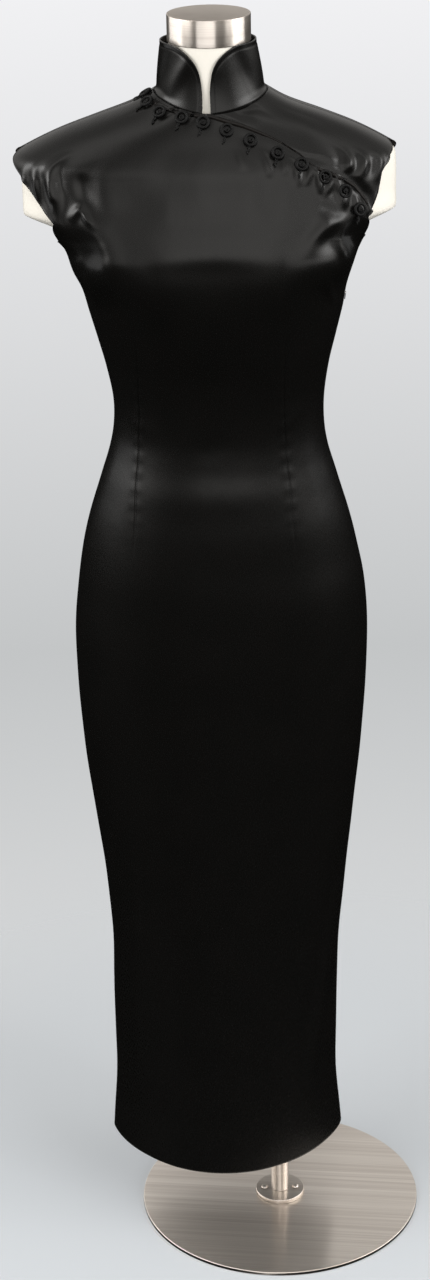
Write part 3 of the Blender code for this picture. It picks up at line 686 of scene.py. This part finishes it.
def hem_edge(level):
    """The turned-up hem: a soft step where the turning ends, and the fold at the edge."""
    height = section("side_z", level) - SECTIONS[0, 1]
    fold = HEM_FOLD[0] * np.exp(-((height / HEM_FOLD[1]) ** 2))
    depth, place, width = HEM_STEP
    return fold - depth * np.exp(-(((height - place) / width) ** 2))


def make_front(looks):
    """The front panel, closed up under the slanting edge of its overlap."""
    columns, rows = FRONT_STEPS
    shares = spaced(COLUMN_SPACING, columns)[:, None]
    even = levels_up(rows - len(EDGE_LEVELS))
    top = np.where(shares > 0, level_under_edge(np.abs(shares), 0.0), float(NECK_ROW))
    even = np.concatenate((even[:-1], NECK_ROW - np.array(EDGE_LEVELS)))[None, :]
    closed_up = (even - CHEST_ROW) / (NECK_ROW - CHEST_ROW) * (top - CHEST_ROW) + CHEST_ROW
    level = np.where(even > CHEST_ROW, closed_up, even)
    left, right = armhole_angle("front_left", level), armhole_angle("front_right", level)
    armhole = np.where(shares > 0, right, left)
    darts = (FRONT_DART_LEFT_X, FRONT_DART_RIGHT_X)
    moved = clustered(shares + 0 * level, level, darts, armhole)
    on_overlap = np.clip(shares * OVERLAP_ONSET, 0, 1) * OVERLAP_ROLL
    extra = armhole_edge(moved, level, armhole) + hem_edge(level)
    extra = extra + edge_height((top - level) * OVERLAP_DROP) * on_overlap
    over_flap = (shares > 0) & (level > UNDERARM_ROW)
    clearance = np.where(over_flap, OVERLAP_CLEARANCE, FORM_CLEARANCE)
    points = draped(moved * armhole, level, np.zeros_like(level), -1, extra, clearance)
    return cloth_piece("front_panel", points, looks, CLOTH, "dress_front")


def make_back(looks):
    """The back panel, whose columns run the other way round the body."""
    columns, rows = BACK_STEPS
    shares = np.linspace(-1, 1, columns + 1)[:, None]
    level = levels_up(rows)[None, :] + 0 * shares
    armhole = armhole_angle("back", level)
    mirrored = [-x for x in BACK_DART_X]
    moved = -clustered(-shares + 0 * level, level, (BACK_DART_X, mirrored), armhole)
    extra = armhole_edge(moved, level, armhole) + hem_edge(level)
    points = draped(math.pi + moved * armhole, level, np.zeros_like(level), 1, extra)
    return cloth_piece("back_panel", points, looks, CLOTH, "dress_back")


def make_flap(looks):
    """The flap that closes the right shoulder under the overlap."""
    columns, rows = FLAP_STEPS
    share = np.linspace(0, 1, columns + 1)
    low = level_under_edge(share, OVERLAP_DEPTH)
    edge = level_under_edge(share, 0.0)[:, None]
    knee = ((1 - share) * (low + NECK_ROW) / 2 + share * SHOULDER_TIP_ROW)[:, None]
    low, share = low[:, None], share[:, None]
    steps = np.linspace(0, 2, rows + 1)[None, :]
    level = np.where(steps <= 1, low + (knee - low) * steps, knee + (NECK_ROW - knee) * (steps - 1))
    armhole = armhole_angle("front_right", level)
    angle = share * armhole
    rise = np.clip((level - edge - FLAP_RISE[0]) / FLAP_RISE[1], 0, 1)
    under = -(WALL + LAYER_GAP)
    lift = under * (1 - rise * rise * (3 - 2 * rise) * share**FLAP_SIDE_RISE)
    place, height = angle * GIRTH_RADIUS, body(angle, level)[..., 2]
    own = crease_height(place, height, FLAP_CREASES) * np.clip(rise * FLAP_CREASE_ONSET, 0, 1)
    front_only = np.maximum(crease_height(place, height, FRONT_CREASES), 0)
    extra = armhole_edge(share, level, armhole) + own
    points = draped(angle, level, lift - front_only, -1, extra, FLAP_CLEARANCE)
    return cloth_piece("under_flap", points, looks, CLOTH, "dress_under_flap")


def make_collar(looks):
    """The stand collar, open at the front, with a rolled top and front edge."""
    columns, rows = COLLAR_STEPS
    left, right = COLLAR_OPENING
    run = (1 - np.cos(np.linspace(0, math.pi, columns + 1))) / 2
    angles = right + run * (2 * math.pi - (right - left))
    base = body(angles, np.full_like(angles, float(NECK_ROW)))
    reach = float(section("half_width", np.array(float(NECK_ROW))))
    round_from = angles - right
    from_edge = reach * np.minimum(round_from, 2 * math.pi - (right - left) - round_from)
    top_z = np.interp(from_edge, COLLAR_EDGE_REACH, COLLAR_EDGE_Z)
    kernel = np.ones(COLLAR_EDGE_SMOOTHING) / COLLAR_EDGE_SMOOTHING
    top_z = np.convolve(np.pad(top_z, COLLAR_EDGE_SMOOTHING // 2, mode="edge"), kernel, "valid")
    slope = np.gradient(top_z, angles * reach)
    share = np.linspace(0, 1, rows + 1) ** COLLAR_ROW_CROWDING
    base[:, 2] -= COLLAR_SEAM_DEPTH
    z = base[:, None, 2] + (top_z - base[:, 2])[:, None] * share
    rise = (z - base[:, None, 2]) / (COLLAR_TOP_Z - base[:, None, 2])
    flare_x, flare_y = (1 - (1 - np.clip(rise / reach, 0, 1)) ** 2 for reach in COLLAR_FLARE_RISE)
    middle_x = float(section("shift_x", np.array(float(NECK_ROW))))
    x = middle_x + COLLAR_DRIFT * rise + (base[:, None, 0] - middle_x) * (
        1 - COLLAR_LEAN[0] * rise - COLLAR_FLARE[0] * flare_x
    )
    y = base[:, None, 1] * (1 - COLLAR_LEAN[1] * rise - COLLAR_FLARE[1] * flare_y)
    radial = np.stack((x - middle_x, y, np.zeros_like(x)), axis=-1)
    radial = radial / np.linalg.norm(radial, axis=-1, keepdims=True)
    from_top = (top_z[:, None] - z) / np.sqrt(1 + slope[:, None] ** 2)
    distance = np.minimum(from_top, from_edge[:, None])
    bulge = COLLAR_BULGE * (1 - np.maximum(np.cos(angles), 0))[:, None]
    within = np.clip(rise, 0, 1)
    lift = edge_height(distance * COLLAR_EDGE_WIDTH)
    lift = lift + bulge * np.sin(math.pi * within**COLLAR_BULGE_SKEW)
    for turn, drift, spread, crest in COLLAR_CREASES:
        centre = math.radians(turn) + (rise - 0.5) * math.radians(drift)
        away = np.angle(np.exp(1j * (angles[:, None] - centre)))
        lift = lift + crest * np.exp(-((away / math.radians(spread)) ** 2)) * np.sin(math.pi * within)
    points = np.stack((x, y, z), axis=-1) + radial * lift[..., None]
    points[..., 0] += TORSO_X
    return cloth_piece("collar_band", points, looks, COLLAR_CLOTH, "stand_collar")


def make_form(look):
    """The limbless form: flat foot, two arm discs and a neck, just inside the dress."""
    columns, rows = FORM_STEPS
    turns = np.linspace(-math.pi, math.pi, columns + 1)[:, None]
    level = np.linspace(FORM_BOTTOM_ROW, NECK_ROW, rows + 1)[None, :] + 0 * turns
    angle = turns + 0 * level
    points = body(angle, level) - outward(angle, level) * form_inset(angle, level)[..., None]
    for limit, side in zip(FORM_ARM_LIMITS, (-1, 1)):
        over = (points[..., 0] - limit) * side / FORM_ARM_ROUNDING
        eased = -np.logaddexp(0, -over * FORM_ARM_SOFTNESS) / FORM_ARM_SOFTNESS
        rounded = limit + side * FORM_ARM_ROUNDING * eased
        points[..., 0] = np.where(over > -FORM_ARM_REACH, rounded, points[..., 0])
    foot = np.clip(1 - (level - FORM_BOTTOM_ROW) / FORM_FOOT_LEVELS, 0, 1)
    points[..., 2] = points[..., 2] * (1 - foot) + SECTIONS[FORM_BOTTOM_ROW, 0] * foot
    last = points[:, -1]
    circle = NECK_RADIUS * np.stack((np.sin(turns[:, 0]), -np.cos(turns[:, 0])), axis=-1)
    rings = [points]
    for share in np.linspace(0, 1, FORM_NECK_RINGS)[1:]:
        ease = 1 - (1 - share) ** 3
        ring = last.copy()
        ring[:, :2] = last[:, :2] * (1 - ease) + circle * ease
        ring[:, 2] = last[:, 2] * (1 - share) + NECK_TOP_Z * share
        rings.append(ring[:, None])
    points = np.concatenate(rings, axis=1)
    points[..., 0] += TORSO_X
    data = grid_mesh("form_shell", points, cut_uv(points))
    bm = bmesh.new()
    bm.from_mesh(data)
    bmesh.ops.remove_doubles(bm, verts=bm.verts[:], dist=1e-5)
    bmesh.ops.holes_fill(bm, edges=[edge for edge in bm.edges if edge.is_boundary], sides=0)
    bmesh.ops.recalc_face_normals(bm, faces=bm.faces[:])
    bm.to_mesh(data)
    bm.free()
    data.shade_smooth()
    data.set_sharp_from_angle(angle=FORM_SHARP_ANGLE)
    piece = place_piece("form_shell", data, [look])
    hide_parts("form_torso")
    return piece


def turned(name, outline, centre, look, node, steps):
    """A turned metal piece: an outline of (radius, height) pairs spun round an upright axis."""
    bm = bmesh.new()
    verts = [bm.verts.new((radius, 0, height)) for radius, height in outline]
    edges = [bm.edges.new(pair) for pair in zip(verts, verts[1:])]
    bmesh.ops.spin(
        bm, geom=verts + edges, cent=(0, 0, 0), axis=(0, 0, 1), angle=2 * math.pi,
        steps=steps, use_merge=True,
    )
    bmesh.ops.remove_doubles(bm, verts=bm.verts[:], dist=1e-6)
    bmesh.ops.recalc_face_normals(bm, faces=bm.faces[:])
    bmesh.ops.translate(bm, verts=bm.verts[:], vec=centre)
    data = mesh_from(name, bm)
    data.shade_smooth()
    data.set_sharp_from_angle(angle=STEEL_SHARP_ANGLE)
    piece = place_piece(name, data, [look])
    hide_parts(node)
    return piece


def plate_outline(radius, height, rounding):
    """The outline of a round plate or bar whose rims are rounded."""
    outline = [(0.0, 0.0), (radius - rounding, 0.0)]
    for middle, turns in ((rounding, (-90, -60, -30, 0)), (height - rounding, (0, 30, 60, 90))):
        for turn in np.radians(turns):
            across = radius - rounding + rounding * math.cos(turn)
            outline.append((across, middle + rounding * math.sin(turn)))
    outline.append((0.0, height))
    return outline


def dome_outline(radius, height):
    """The outline of a screw's domed head."""
    outline = [(0.0, 0.0)]
    for turn in np.radians(range(0, 91, 15)):
        outline.append((radius * math.cos(turn), DOME_CUT + (height - DOME_CUT) * math.sin(turn)))
    return outline


def surface_frame(x, z, lift):
    """A turned and moved frame on the front: x across it, y up it, z out of it."""
    angle, level = angle_and_level(x, z)
    normal = Vector(outward(angle, level))
    point = body(angle, level)
    place = np.array([float(angle) * GIRTH_RADIUS])
    height = float(crease_height(place, np.array([point[2]]), FRONT_CREASES)[0])
    across = Vector((0, 0, 1)).cross(normal).normalized()
    up = normal.cross(across)
    turned_frame = Matrix((across, up, normal)).transposed().to_4x4()
    origin = Vector(point) + Vector((TORSO_X, 0, 0)) + normal * (lift + max(height, 0.0))
    return Matrix.Translation(origin) @ turned_frame


def cord_tube(points, radius, closed, sides=3):
    """A tube of cord through the points, as a mesh."""
    curve = bpy.data.curves.new("cord", "CURVE")
    curve.dimensions = "3D"
    curve.bevel_depth = radius
    curve.bevel_resolution = sides
    curve.use_fill_caps = True
    line = curve.splines.new("POLY")
    line.points.add(len(points) - 1)
    for point, place in zip(line.points, points):
        point.co = (*place, 1)
    line.use_cyclic_u = closed
    holder = put_in_scene("cord", curve)
    bpy.context.view_layer.update()
    graph = bpy.context.evaluated_depsgraph_get()
    data = bpy.data.meshes.new_from_object(holder.evaluated_get(graph))
    bpy.data.objects.remove(holder)
    return data


def make_button(number, x, z, look):
    """A ring of satin cord with two thin tails, round a small coiled knot."""
    turns = np.linspace(0, 2 * math.pi, RING_STEPS, endpoint=False)
    ring = [(RING_RADIUS * math.cos(turn), RING_RADIUS * math.sin(turn), 0.0) for turn in turns]
    tubes = [cord_tube(ring, CORD_RADIUS, True)]
    ahead = Vector((math.cos(TAIL_ANGLE), math.sin(TAIL_ANGLE)))
    aside = Vector((-ahead.y, ahead.x))
    for side in (-1, 1):
        tail = []
        for share in np.linspace(0, 1, TAIL_STEPS):
            sway = side * TAIL_SWAY * math.cos(share * TAIL_WAVES * math.pi + number)
            length = TAIL_LENGTH * (1 - TAIL_SHORTER * (side > 0))
            spot = ahead * (RING_RADIUS + length * share) + aside * sway
            tail.append((spot.x, spot.y, (TAIL_CORD - CORD_RADIUS) * TAIL_SINK))
        tubes.append(cord_tube(tail, TAIL_CORD, False))
    coil_radius, coil_cord, coil_turns = KNOT_COIL
    coil = []
    for share in np.linspace(0, 1, RING_STEPS):
        turn = share * coil_turns * 2 * math.pi + number
        reach = coil_radius * (COIL_TAPER[0] - COIL_TAPER[1] * share)
        coil.append((reach * math.cos(turn), reach * math.sin(turn), COIL_RISE * (share - 0.5)))
    tubes.append(cord_tube(coil, coil_cord, False))
    bm = bmesh.new()
    for data in tubes:
        bm.from_mesh(data)
        bpy.data.meshes.remove(data)
    place = surface_frame(x, z, CORD_RADIUS + BUTTON_CLEARANCE)
    bmesh.ops.transform(bm, matrix=place, verts=bm.verts[:])
    data = mesh_from("ring_button", bm)
    data.shade_smooth()
    piece = place_piece(f"ring_button_{number:02d}", data, [look])
    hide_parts(f"button_loop_{number:02d}", f"button_knot_{number:02d}")
    return piece


def linear(code):
    """A colour from an sRGB hex code, in the renderer's linear values."""
    values = [int(code[i:i + 2], 16) / 255 for i in (0, 2, 4)]
    return tuple(v / 12.92 if v <= 0.04045 else ((v + 0.055) / 1.055) ** 2.4 for v in values) + (1.0,)


def add_node(tree, kind, inputs=None, **settings):
    """Adds a node with its settings, and its inputs as values or as other nodes' outputs."""
    node = tree.nodes.new(kind)
    for name, value in settings.items():
        setattr(node, name, value)
    for name, value in (inputs or {}).items():
        if isinstance(value, bpy.types.NodeSocket):
            tree.links.new(value, node.inputs[name])
        else:
            node.inputs[name].default_value = value
    return node


def new_material(name):
    """A material with an empty tree but for its Principled shader."""
    made = bpy.data.materials.new(name)
    made.use_nodes = True
    return made, made.node_tree, made.node_tree.nodes["Principled BSDF"]


def noise(tree, source, scale, detail=2.0):
    """Noise over a place. scale is one number, or one for each axis."""
    if isinstance(scale, tuple):
        source = add_node(tree, "ShaderNodeMapping", {"Vector": source, "Scale": scale}).outputs[0]
        scale = 1.0
    inputs = {"Vector": source, "Scale": scale, "Detail": detail}
    return add_node(tree, "ShaderNodeTexNoise", inputs).outputs["Fac"]


def colour_by(tree, shader, value, codes, stops=(0.0, 1.0)):
    """The base colour, between two sRGB codes by a value."""
    tone = add_node(tree, "ShaderNodeValToRGB", {"Fac": value})
    for element, where, code in zip(tone.color_ramp.elements, stops, codes):
        element.position = where
        element.color = linear(code)
    tree.links.new(tone.outputs["Color"], shader.inputs["Base Color"])


def roughness_by(tree, shader, value, low, high):
    """The roughness, between low and high by a value."""
    gloss = add_node(tree, "ShaderNodeMapRange", {"Value": value, "To Min": low, "To Max": high})
    tree.links.new(gloss.outputs["Result"], shader.inputs["Roughness"])


def relief_by(tree, shader, value, strength, depth, under=None):
    """A fine relief by a value, on top of the relief whose normal is given as under."""
    inputs = {"Height": value, "Strength": strength, "Distance": depth}
    if under is not None:
        inputs["Normal"] = under
    normal = add_node(tree, "ShaderNodeBump", inputs).outputs["Normal"]
    tree.links.new(normal, shader.inputs["Normal"])
    return normal


def satin_face():
    """Silk satin, piece-dyed black: long warp floats give a smooth, liquid sheen along bends."""
    made, tree, shader = new_material("silk_satin_face")
    uv = add_node(tree, "ShaderNodeUVMap", uv_map="cut").outputs["UV"]
    # floats of 0.3 mm drawn as 1.1 mm across and 4 mm along, so that they show
    weave = noise(tree, uv, (900, 250, 1))
    cloud = noise(tree, uv, (22, 16, 1), 3.0)
    colour_by(tree, shader, cloud, ("0a0a09", "0e0d0c"))
    roughness_by(tree, shader, weave, 0.23, 0.31)
    fine = relief_by(tree, shader, weave, 0.10, 0.0003)
    relief_by(tree, shader, cloud, 0.30, 0.0012, fine)
    shader.inputs["Specular IOR Level"].default_value = 0.5
    return made


def satin_wrong_side():
    """The satin's wrong side and turnings: dull brown-black, the weft showing."""
    made, tree, shader = new_material("silk_satin_wrong_side")
    uv = add_node(tree, "ShaderNodeUVMap", uv_map="cut").outputs["UV"]
    weave = noise(tree, uv, (700, 700, 1))
    colour_by(tree, shader, weave, ("0b0908", "15100c"))
    relief_by(tree, shader, weave, 0.3, 0.0002)
    shader.inputs["Roughness"].default_value = 0.65
    return made


def rolled_cord():
    """Rouleau of bias-cut satin: a tight round cord with slanting threads and a soft gleam."""
    made, tree, shader = new_material("satin_rouleau_cord")
    place = add_node(tree, "ShaderNodeTexCoord")
    slant = add_node(tree, "ShaderNodeMapping", {
        "Vector": place.outputs["Object"], "Rotation": (0.5, 0.6, 0.3),
    })
    threads = add_node(tree, "ShaderNodeTexWave", {
        "Vector": slant.outputs[0], "Scale": 420.0, "Distortion": 2.0, "Detail": 2.0,
    }).outputs["Fac"]
    relief_by(tree, shader, threads, 0.35, 0.0003)
    colour_by(tree, shader, threads, ("050505", "0b0b0b"))
    shader.inputs["Roughness"].default_value = 0.62
    shader.inputs["Specular IOR Level"].default_value = 0.35
    return made


def moulded_shell():
    """The form's shell: off-white polystyrene, vacuum-moulded, smooth with a faint orange peel."""
    made, tree, shader = new_material("moulded_polystyrene_shell")
    place = add_node(tree, "ShaderNodeTexCoord").outputs["Object"]
    colour_by(tree, shader, noise(tree, place, 9.0, 3.0), ("f7f2e7", "fdf9ef"))
    relief_by(tree, shader, noise(tree, place, 420.0), 0.08, 0.0003)
    shader.inputs["Roughness"].default_value = 0.42
    return made


def brushed_stainless(name, grain, turn, flat_top):
    """Stainless steel, brushed: fine parallel scratches that draw the reflections out across them.

    With flat_top, faces that look sideways are brushed round the upright axis instead.
    """
    made, tree, shader = new_material(name)
    place = add_node(tree, "ShaderNodeTexCoord")
    lined = add_node(tree, "ShaderNodeMapping", {
        "Vector": place.outputs["Object"], "Rotation": (0, 0, turn),
    }).outputs[0]
    scratch = noise(tree, lined, grain, 3.0)
    band = noise(tree, lined, tuple(g / 7 for g in grain))
    both = add_node(tree, "ShaderNodeMath", {0: scratch, 1: band}, operation="ADD").outputs[0]
    half = add_node(tree, "ShaderNodeMath", {0: both, 1: 0.5}, operation="MULTIPLY").outputs[0]
    colour_by(tree, shader, half, ("c9bfb6", "e2dad1"), (0.34, 0.62))
    roughness_by(tree, shader, half, 0.36, 0.30)
    relief_by(tree, shader, scratch, 0.06, 0.0002)
    shader.inputs["Metallic"].default_value = 1.0
    shader.inputs["Anisotropic"].default_value = 0.97
    along = {0: math.sin(turn), 1: math.cos(turn), 2: 0.0}
    tangent = add_node(tree, "ShaderNodeCombineXYZ", along).outputs[0]
    if flat_top:
        facing = add_node(tree, "ShaderNodeSeparateXYZ", {"Vector": place.outputs["Normal"]})
        top = add_node(tree, "ShaderNodeMath", {0: facing.outputs["Z"], 1: 0.7}, operation="GREATER_THAN")
        tangent = add_node(tree, "ShaderNodeMix", {
            0: top.outputs[0], 4: (0.0, 0.0, 1.0), 5: tangent,
        }, data_type="VECTOR").outputs[1]
    tree.links.new(tangent, shader.inputs["Tangent"])
    return made


def drawn_wire():
    """Plain drawn steel wire, bright with faint lines along it."""
    made, tree, shader = new_material("drawn_steel_wire")
    place = add_node(tree, "ShaderNodeTexCoord").outputs["Object"]
    roughness_by(tree, shader, noise(tree, place, 900.0), 0.2, 0.4)
    shader.inputs["Base Color"].default_value = linear("c4c3c0")
    shader.inputs["Metallic"].default_value = 1.0
    return made


def studio_floor():
    """A round pale floor that fades into the background."""
    bm = bmesh.new()
    bmesh.ops.create_circle(bm, cap_ends=True, segments=96, radius=FLOOR_RADIUS)
    bmesh.ops.translate(bm, verts=bm.verts[:], vec=(0, 0, -0.0004))
    data = mesh_from("floor", bm)
    floor = put_in_scene("floor", data)
    made, tree, shader = new_material("floor_paper")
    place = add_node(tree, "ShaderNodeTexCoord")
    length = add_node(tree, "ShaderNodeVectorMath", {0: place.outputs["Object"]}, operation="LENGTH")
    fade = add_node(tree, "ShaderNodeMapRange", {
        "Value": length.outputs["Value"], "From Min": FLOOR_RADIUS * FLOOR_FADE[0],
        "From Max": FLOOR_RADIUS * FLOOR_FADE[1], "To Min": 1.0, "To Max": 0.0,
    }, interpolation_type="SMOOTHSTEP")
    shader.inputs["Base Color"].default_value = linear("d3d8dd")
    shader.inputs["Roughness"].default_value = 0.8
    tree.links.new(fade.outputs["Result"], shader.inputs["Alpha"])
    data.materials.append(made)
    floor.visible_glossy = False


def ramp_of(tree, source, stops):
    """A colour ramp from pairs of a place between 0 and 1 and a grey's strength or a colour."""
    node = add_node(tree, "ShaderNodeValToRGB", {"Fac": source})
    ramp = node.color_ramp
    ramp.elements.remove(ramp.elements[1])
    for number, (where, strength) in enumerate(stops):
        element = ramp.elements[0] if number == 0 else ramp.elements.new(where)
        element.position = where
        element.color = (strength, strength, strength, 1.0) if isinstance(strength, float) else strength
    return node.outputs["Color"]


def studio_world():
    """A pale backdrop for the eye, and a soft room with bright and dim walls, dark below."""
    world = bpy.data.worlds.new("studio")
    bpy.context.scene.world = world
    world.use_nodes = True
    tree = world.node_tree
    place = add_node(tree, "ShaderNodeTexCoord")
    axes = add_node(tree, "ShaderNodeSeparateXYZ", {"Vector": place.outputs["Generated"]})
    sine = add_node(tree, "ShaderNodeMapRange", {
        "Value": axes.outputs["Z"], "From Min": -1.0, "From Max": 1.0,
    })
    shades = [((sine_up + 1) / 2, linear(code)) for sine_up, code in BACKDROP_STOPS]
    backdrop = ramp_of(tree, sine.outputs[0], shades)
    upright = add_node(tree, "ShaderNodeMath", {0: axes.outputs["Z"]}, operation="ARCSINE")
    height = add_node(tree, "ShaderNodeMapRange", {
        "Value": upright.outputs[0], "From Min": -math.pi / 2, "From Max": math.pi / 2,
    })
    front = add_node(tree, "ShaderNodeMath", {0: axes.outputs["Y"], 1: -1.0}, operation="MULTIPLY")
    turn = add_node(tree, "ShaderNodeMath", {
        0: axes.outputs["X"], 1: front.outputs[0],
    }, operation="ARCTAN2")
    around = add_node(tree, "ShaderNodeMapRange", {
        "Value": turn.outputs[0], "From Min": -math.pi, "From Max": math.pi,
    })
    heights = [((angle + 90) / 180, share) for angle, share in ROOM_HEIGHTS]
    turns = [((angle + 180) / 360, share) for angle, share in ROOM_TURNS]
    by_height = ramp_of(tree, height.outputs[0], heights)
    by_turn = ramp_of(tree, around.outputs[0], turns)
    room = add_node(tree, "ShaderNodeVectorMath", {0: by_height, 1: by_turn}, operation="MULTIPLY")
    warm = add_node(tree, "ShaderNodeVectorMath", {0: room.outputs[0], 1: ROOM_TINT}, operation="MULTIPLY")
    lighting = add_node(tree, "ShaderNodeBackground", {"Color": warm.outputs[0], "Strength": ROOM_STRENGTH})
    shown = tree.nodes["Background"]
    tree.links.new(backdrop, shown.inputs["Color"])
    rays = add_node(tree, "ShaderNodeLightPath")
    mixed = add_node(tree, "ShaderNodeMixShader", {
        0: rays.outputs["Is Camera Ray"], 1: lighting.outputs[0], 2: shown.outputs[0],
    })
    tree.links.new(mixed.outputs[0], tree.nodes["World Output"].inputs["Surface"])


def studio_lights(steel):
    """Softboxes at both sides, fills for the dull surfaces, and strips for the steel pieces."""
    receivers = {}
    for kind, pieces in (("strip", steel), ("plate", steel[:1])):
        receivers[kind] = bpy.data.collections.new(kind)
        for piece in pieces:
            receivers[kind].objects.link(piece)
    for number, row in enumerate(LAMPS, 1):
        lamp = dict(zip(LAMP_COLUMNS, row))
        light = bpy.data.lights.new(f"{lamp['kind']}_{number}", "AREA")
        light.shape = "RECTANGLE"
        light.size = lamp["width"]
        light.size_y = lamp["tall"]
        light.energy = lamp["watts"]
        holder = put_in_scene(light.name, light)
        turn = math.radians(lamp["azimuth"])
        reach = lamp["distance"]
        place = Vector((TORSO_X + reach * math.sin(turn), -reach * math.cos(turn), lamp["height"]))
        aim = Vector((TORSO_X, 0, LIGHT_AIM_Z)) - place
        facing = aim.to_track_quat("-Z", "Y").to_matrix().to_4x4()
        holder.matrix_world = Matrix.Translation(place) @ facing
        holder.visible_camera = False
        if lamp["kind"] == "fill":
            holder.visible_glossy = False
        if lamp["kind"] in receivers:
            holder.light_linking.receiver_collection = receivers[lamp["kind"]]


def photo_camera():
    """The camera at the photograph's place, dip and roll."""
    camera = bpy.data.cameras.new("photo")
    camera.sensor_fit = "VERTICAL"
    camera.sensor_height = SENSOR_HEIGHT
    camera.sensor_width = SENSOR_HEIGHT * PHOTO_WIDTH / PHOTO_HEIGHT
    camera.lens = CAMERA_LENS
    holder = put_in_scene("photo", camera)
    tilt = Matrix.Rotation(math.pi / 2 - CAMERA_DIP, 4, "X") @ Matrix.Rotation(CAMERA_ROLL, 4, "Z")
    holder.matrix_world = Matrix.Translation(CAMERA_PLACE) @ tilt
    bpy.context.scene.camera = holder


def make_stand(plate_steel, turned_steel):
    """The round base, the pole on its flange with two screws, and the cap on the neck."""
    flange_z = PLATE_THICKNESS + SEAT_GAP
    pole_z = flange_z + FLANGE_THICKNESS + SEAT_GAP
    pole_top = float(SECTIONS[FORM_BOTTOM_ROW, 0]) - SEAT_GAP
    cap_z = NECK_TOP_Z + SEAT_GAP
    plate = plate_outline(PLATE_RADIUS, PLATE_THICKNESS, PLATE_ROUNDING)
    flange = plate_outline(FLANGE_RADIUS, FLANGE_THICKNESS, FLANGE_ROUNDING)
    pole = plate_outline(POLE_RADIUS, pole_top - pole_z, POLE_ROUNDING)
    head = dome_outline(SCREW_RADIUS, SCREW_HEIGHT)
    cap = plate_outline(CAP_RADIUS, CAP_TOP_Z - cap_z, CAP_ROUNDING)
    pieces = [
        turned("round_base", plate, (0, 0, 0), plate_steel, "base_plate", steps=160),
        turned("flange_disc", flange, (0, 0, flange_z), plate_steel, "pole_flange", steps=96),
        turned("upright_pole", pole, (0, 0, pole_z), turned_steel, "pole", steps=64),
        turned("steel_neck_cap", cap, (TORSO_X, 0, cap_z), turned_steel, "neck_cap", steps=128),
    ]
    for number, side in enumerate((-1, 1), 1):
        place, node = (side * SCREW_SPREAD, 0, pole_z), f"flange_screw_{number}"
        pieces.append(turned(f"screw_head_{number}", head, place, turned_steel, node, steps=32))
    return pieces


def main():
    """Builds every piece round the frame, then the floor, the light and the camera."""
    bpy.context.scene.view_settings.view_transform = "Standard"
    photo_camera()
    face, wrong_side = satin_face(), satin_wrong_side()
    plate_steel = brushed_stainless("brushed_stainless_plate", (5, 900, 900), math.radians(7), False)
    turned_steel = brushed_stainless("brushed_stainless_turned", (14, 14, 1500), 0.0, True)
    front = make_front([face, wrong_side])
    back = make_back([face, wrong_side])
    flap = make_flap([face, wrong_side])
    collar = make_collar([face, wrong_side])
    cord = rolled_cord()
    for number, (x, z) in enumerate(BUTTONS, 1):
        make_button(number, x, z, cord)
    make_form(moulded_shell())
    steel = make_stand(plate_steel, turned_steel)
    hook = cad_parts["side_hook"]
    hook.data.materials.clear()
    hook.data.materials.append(drawn_wire())
    studio_floor()
    studio_world()
    studio_lights(steel)


main()
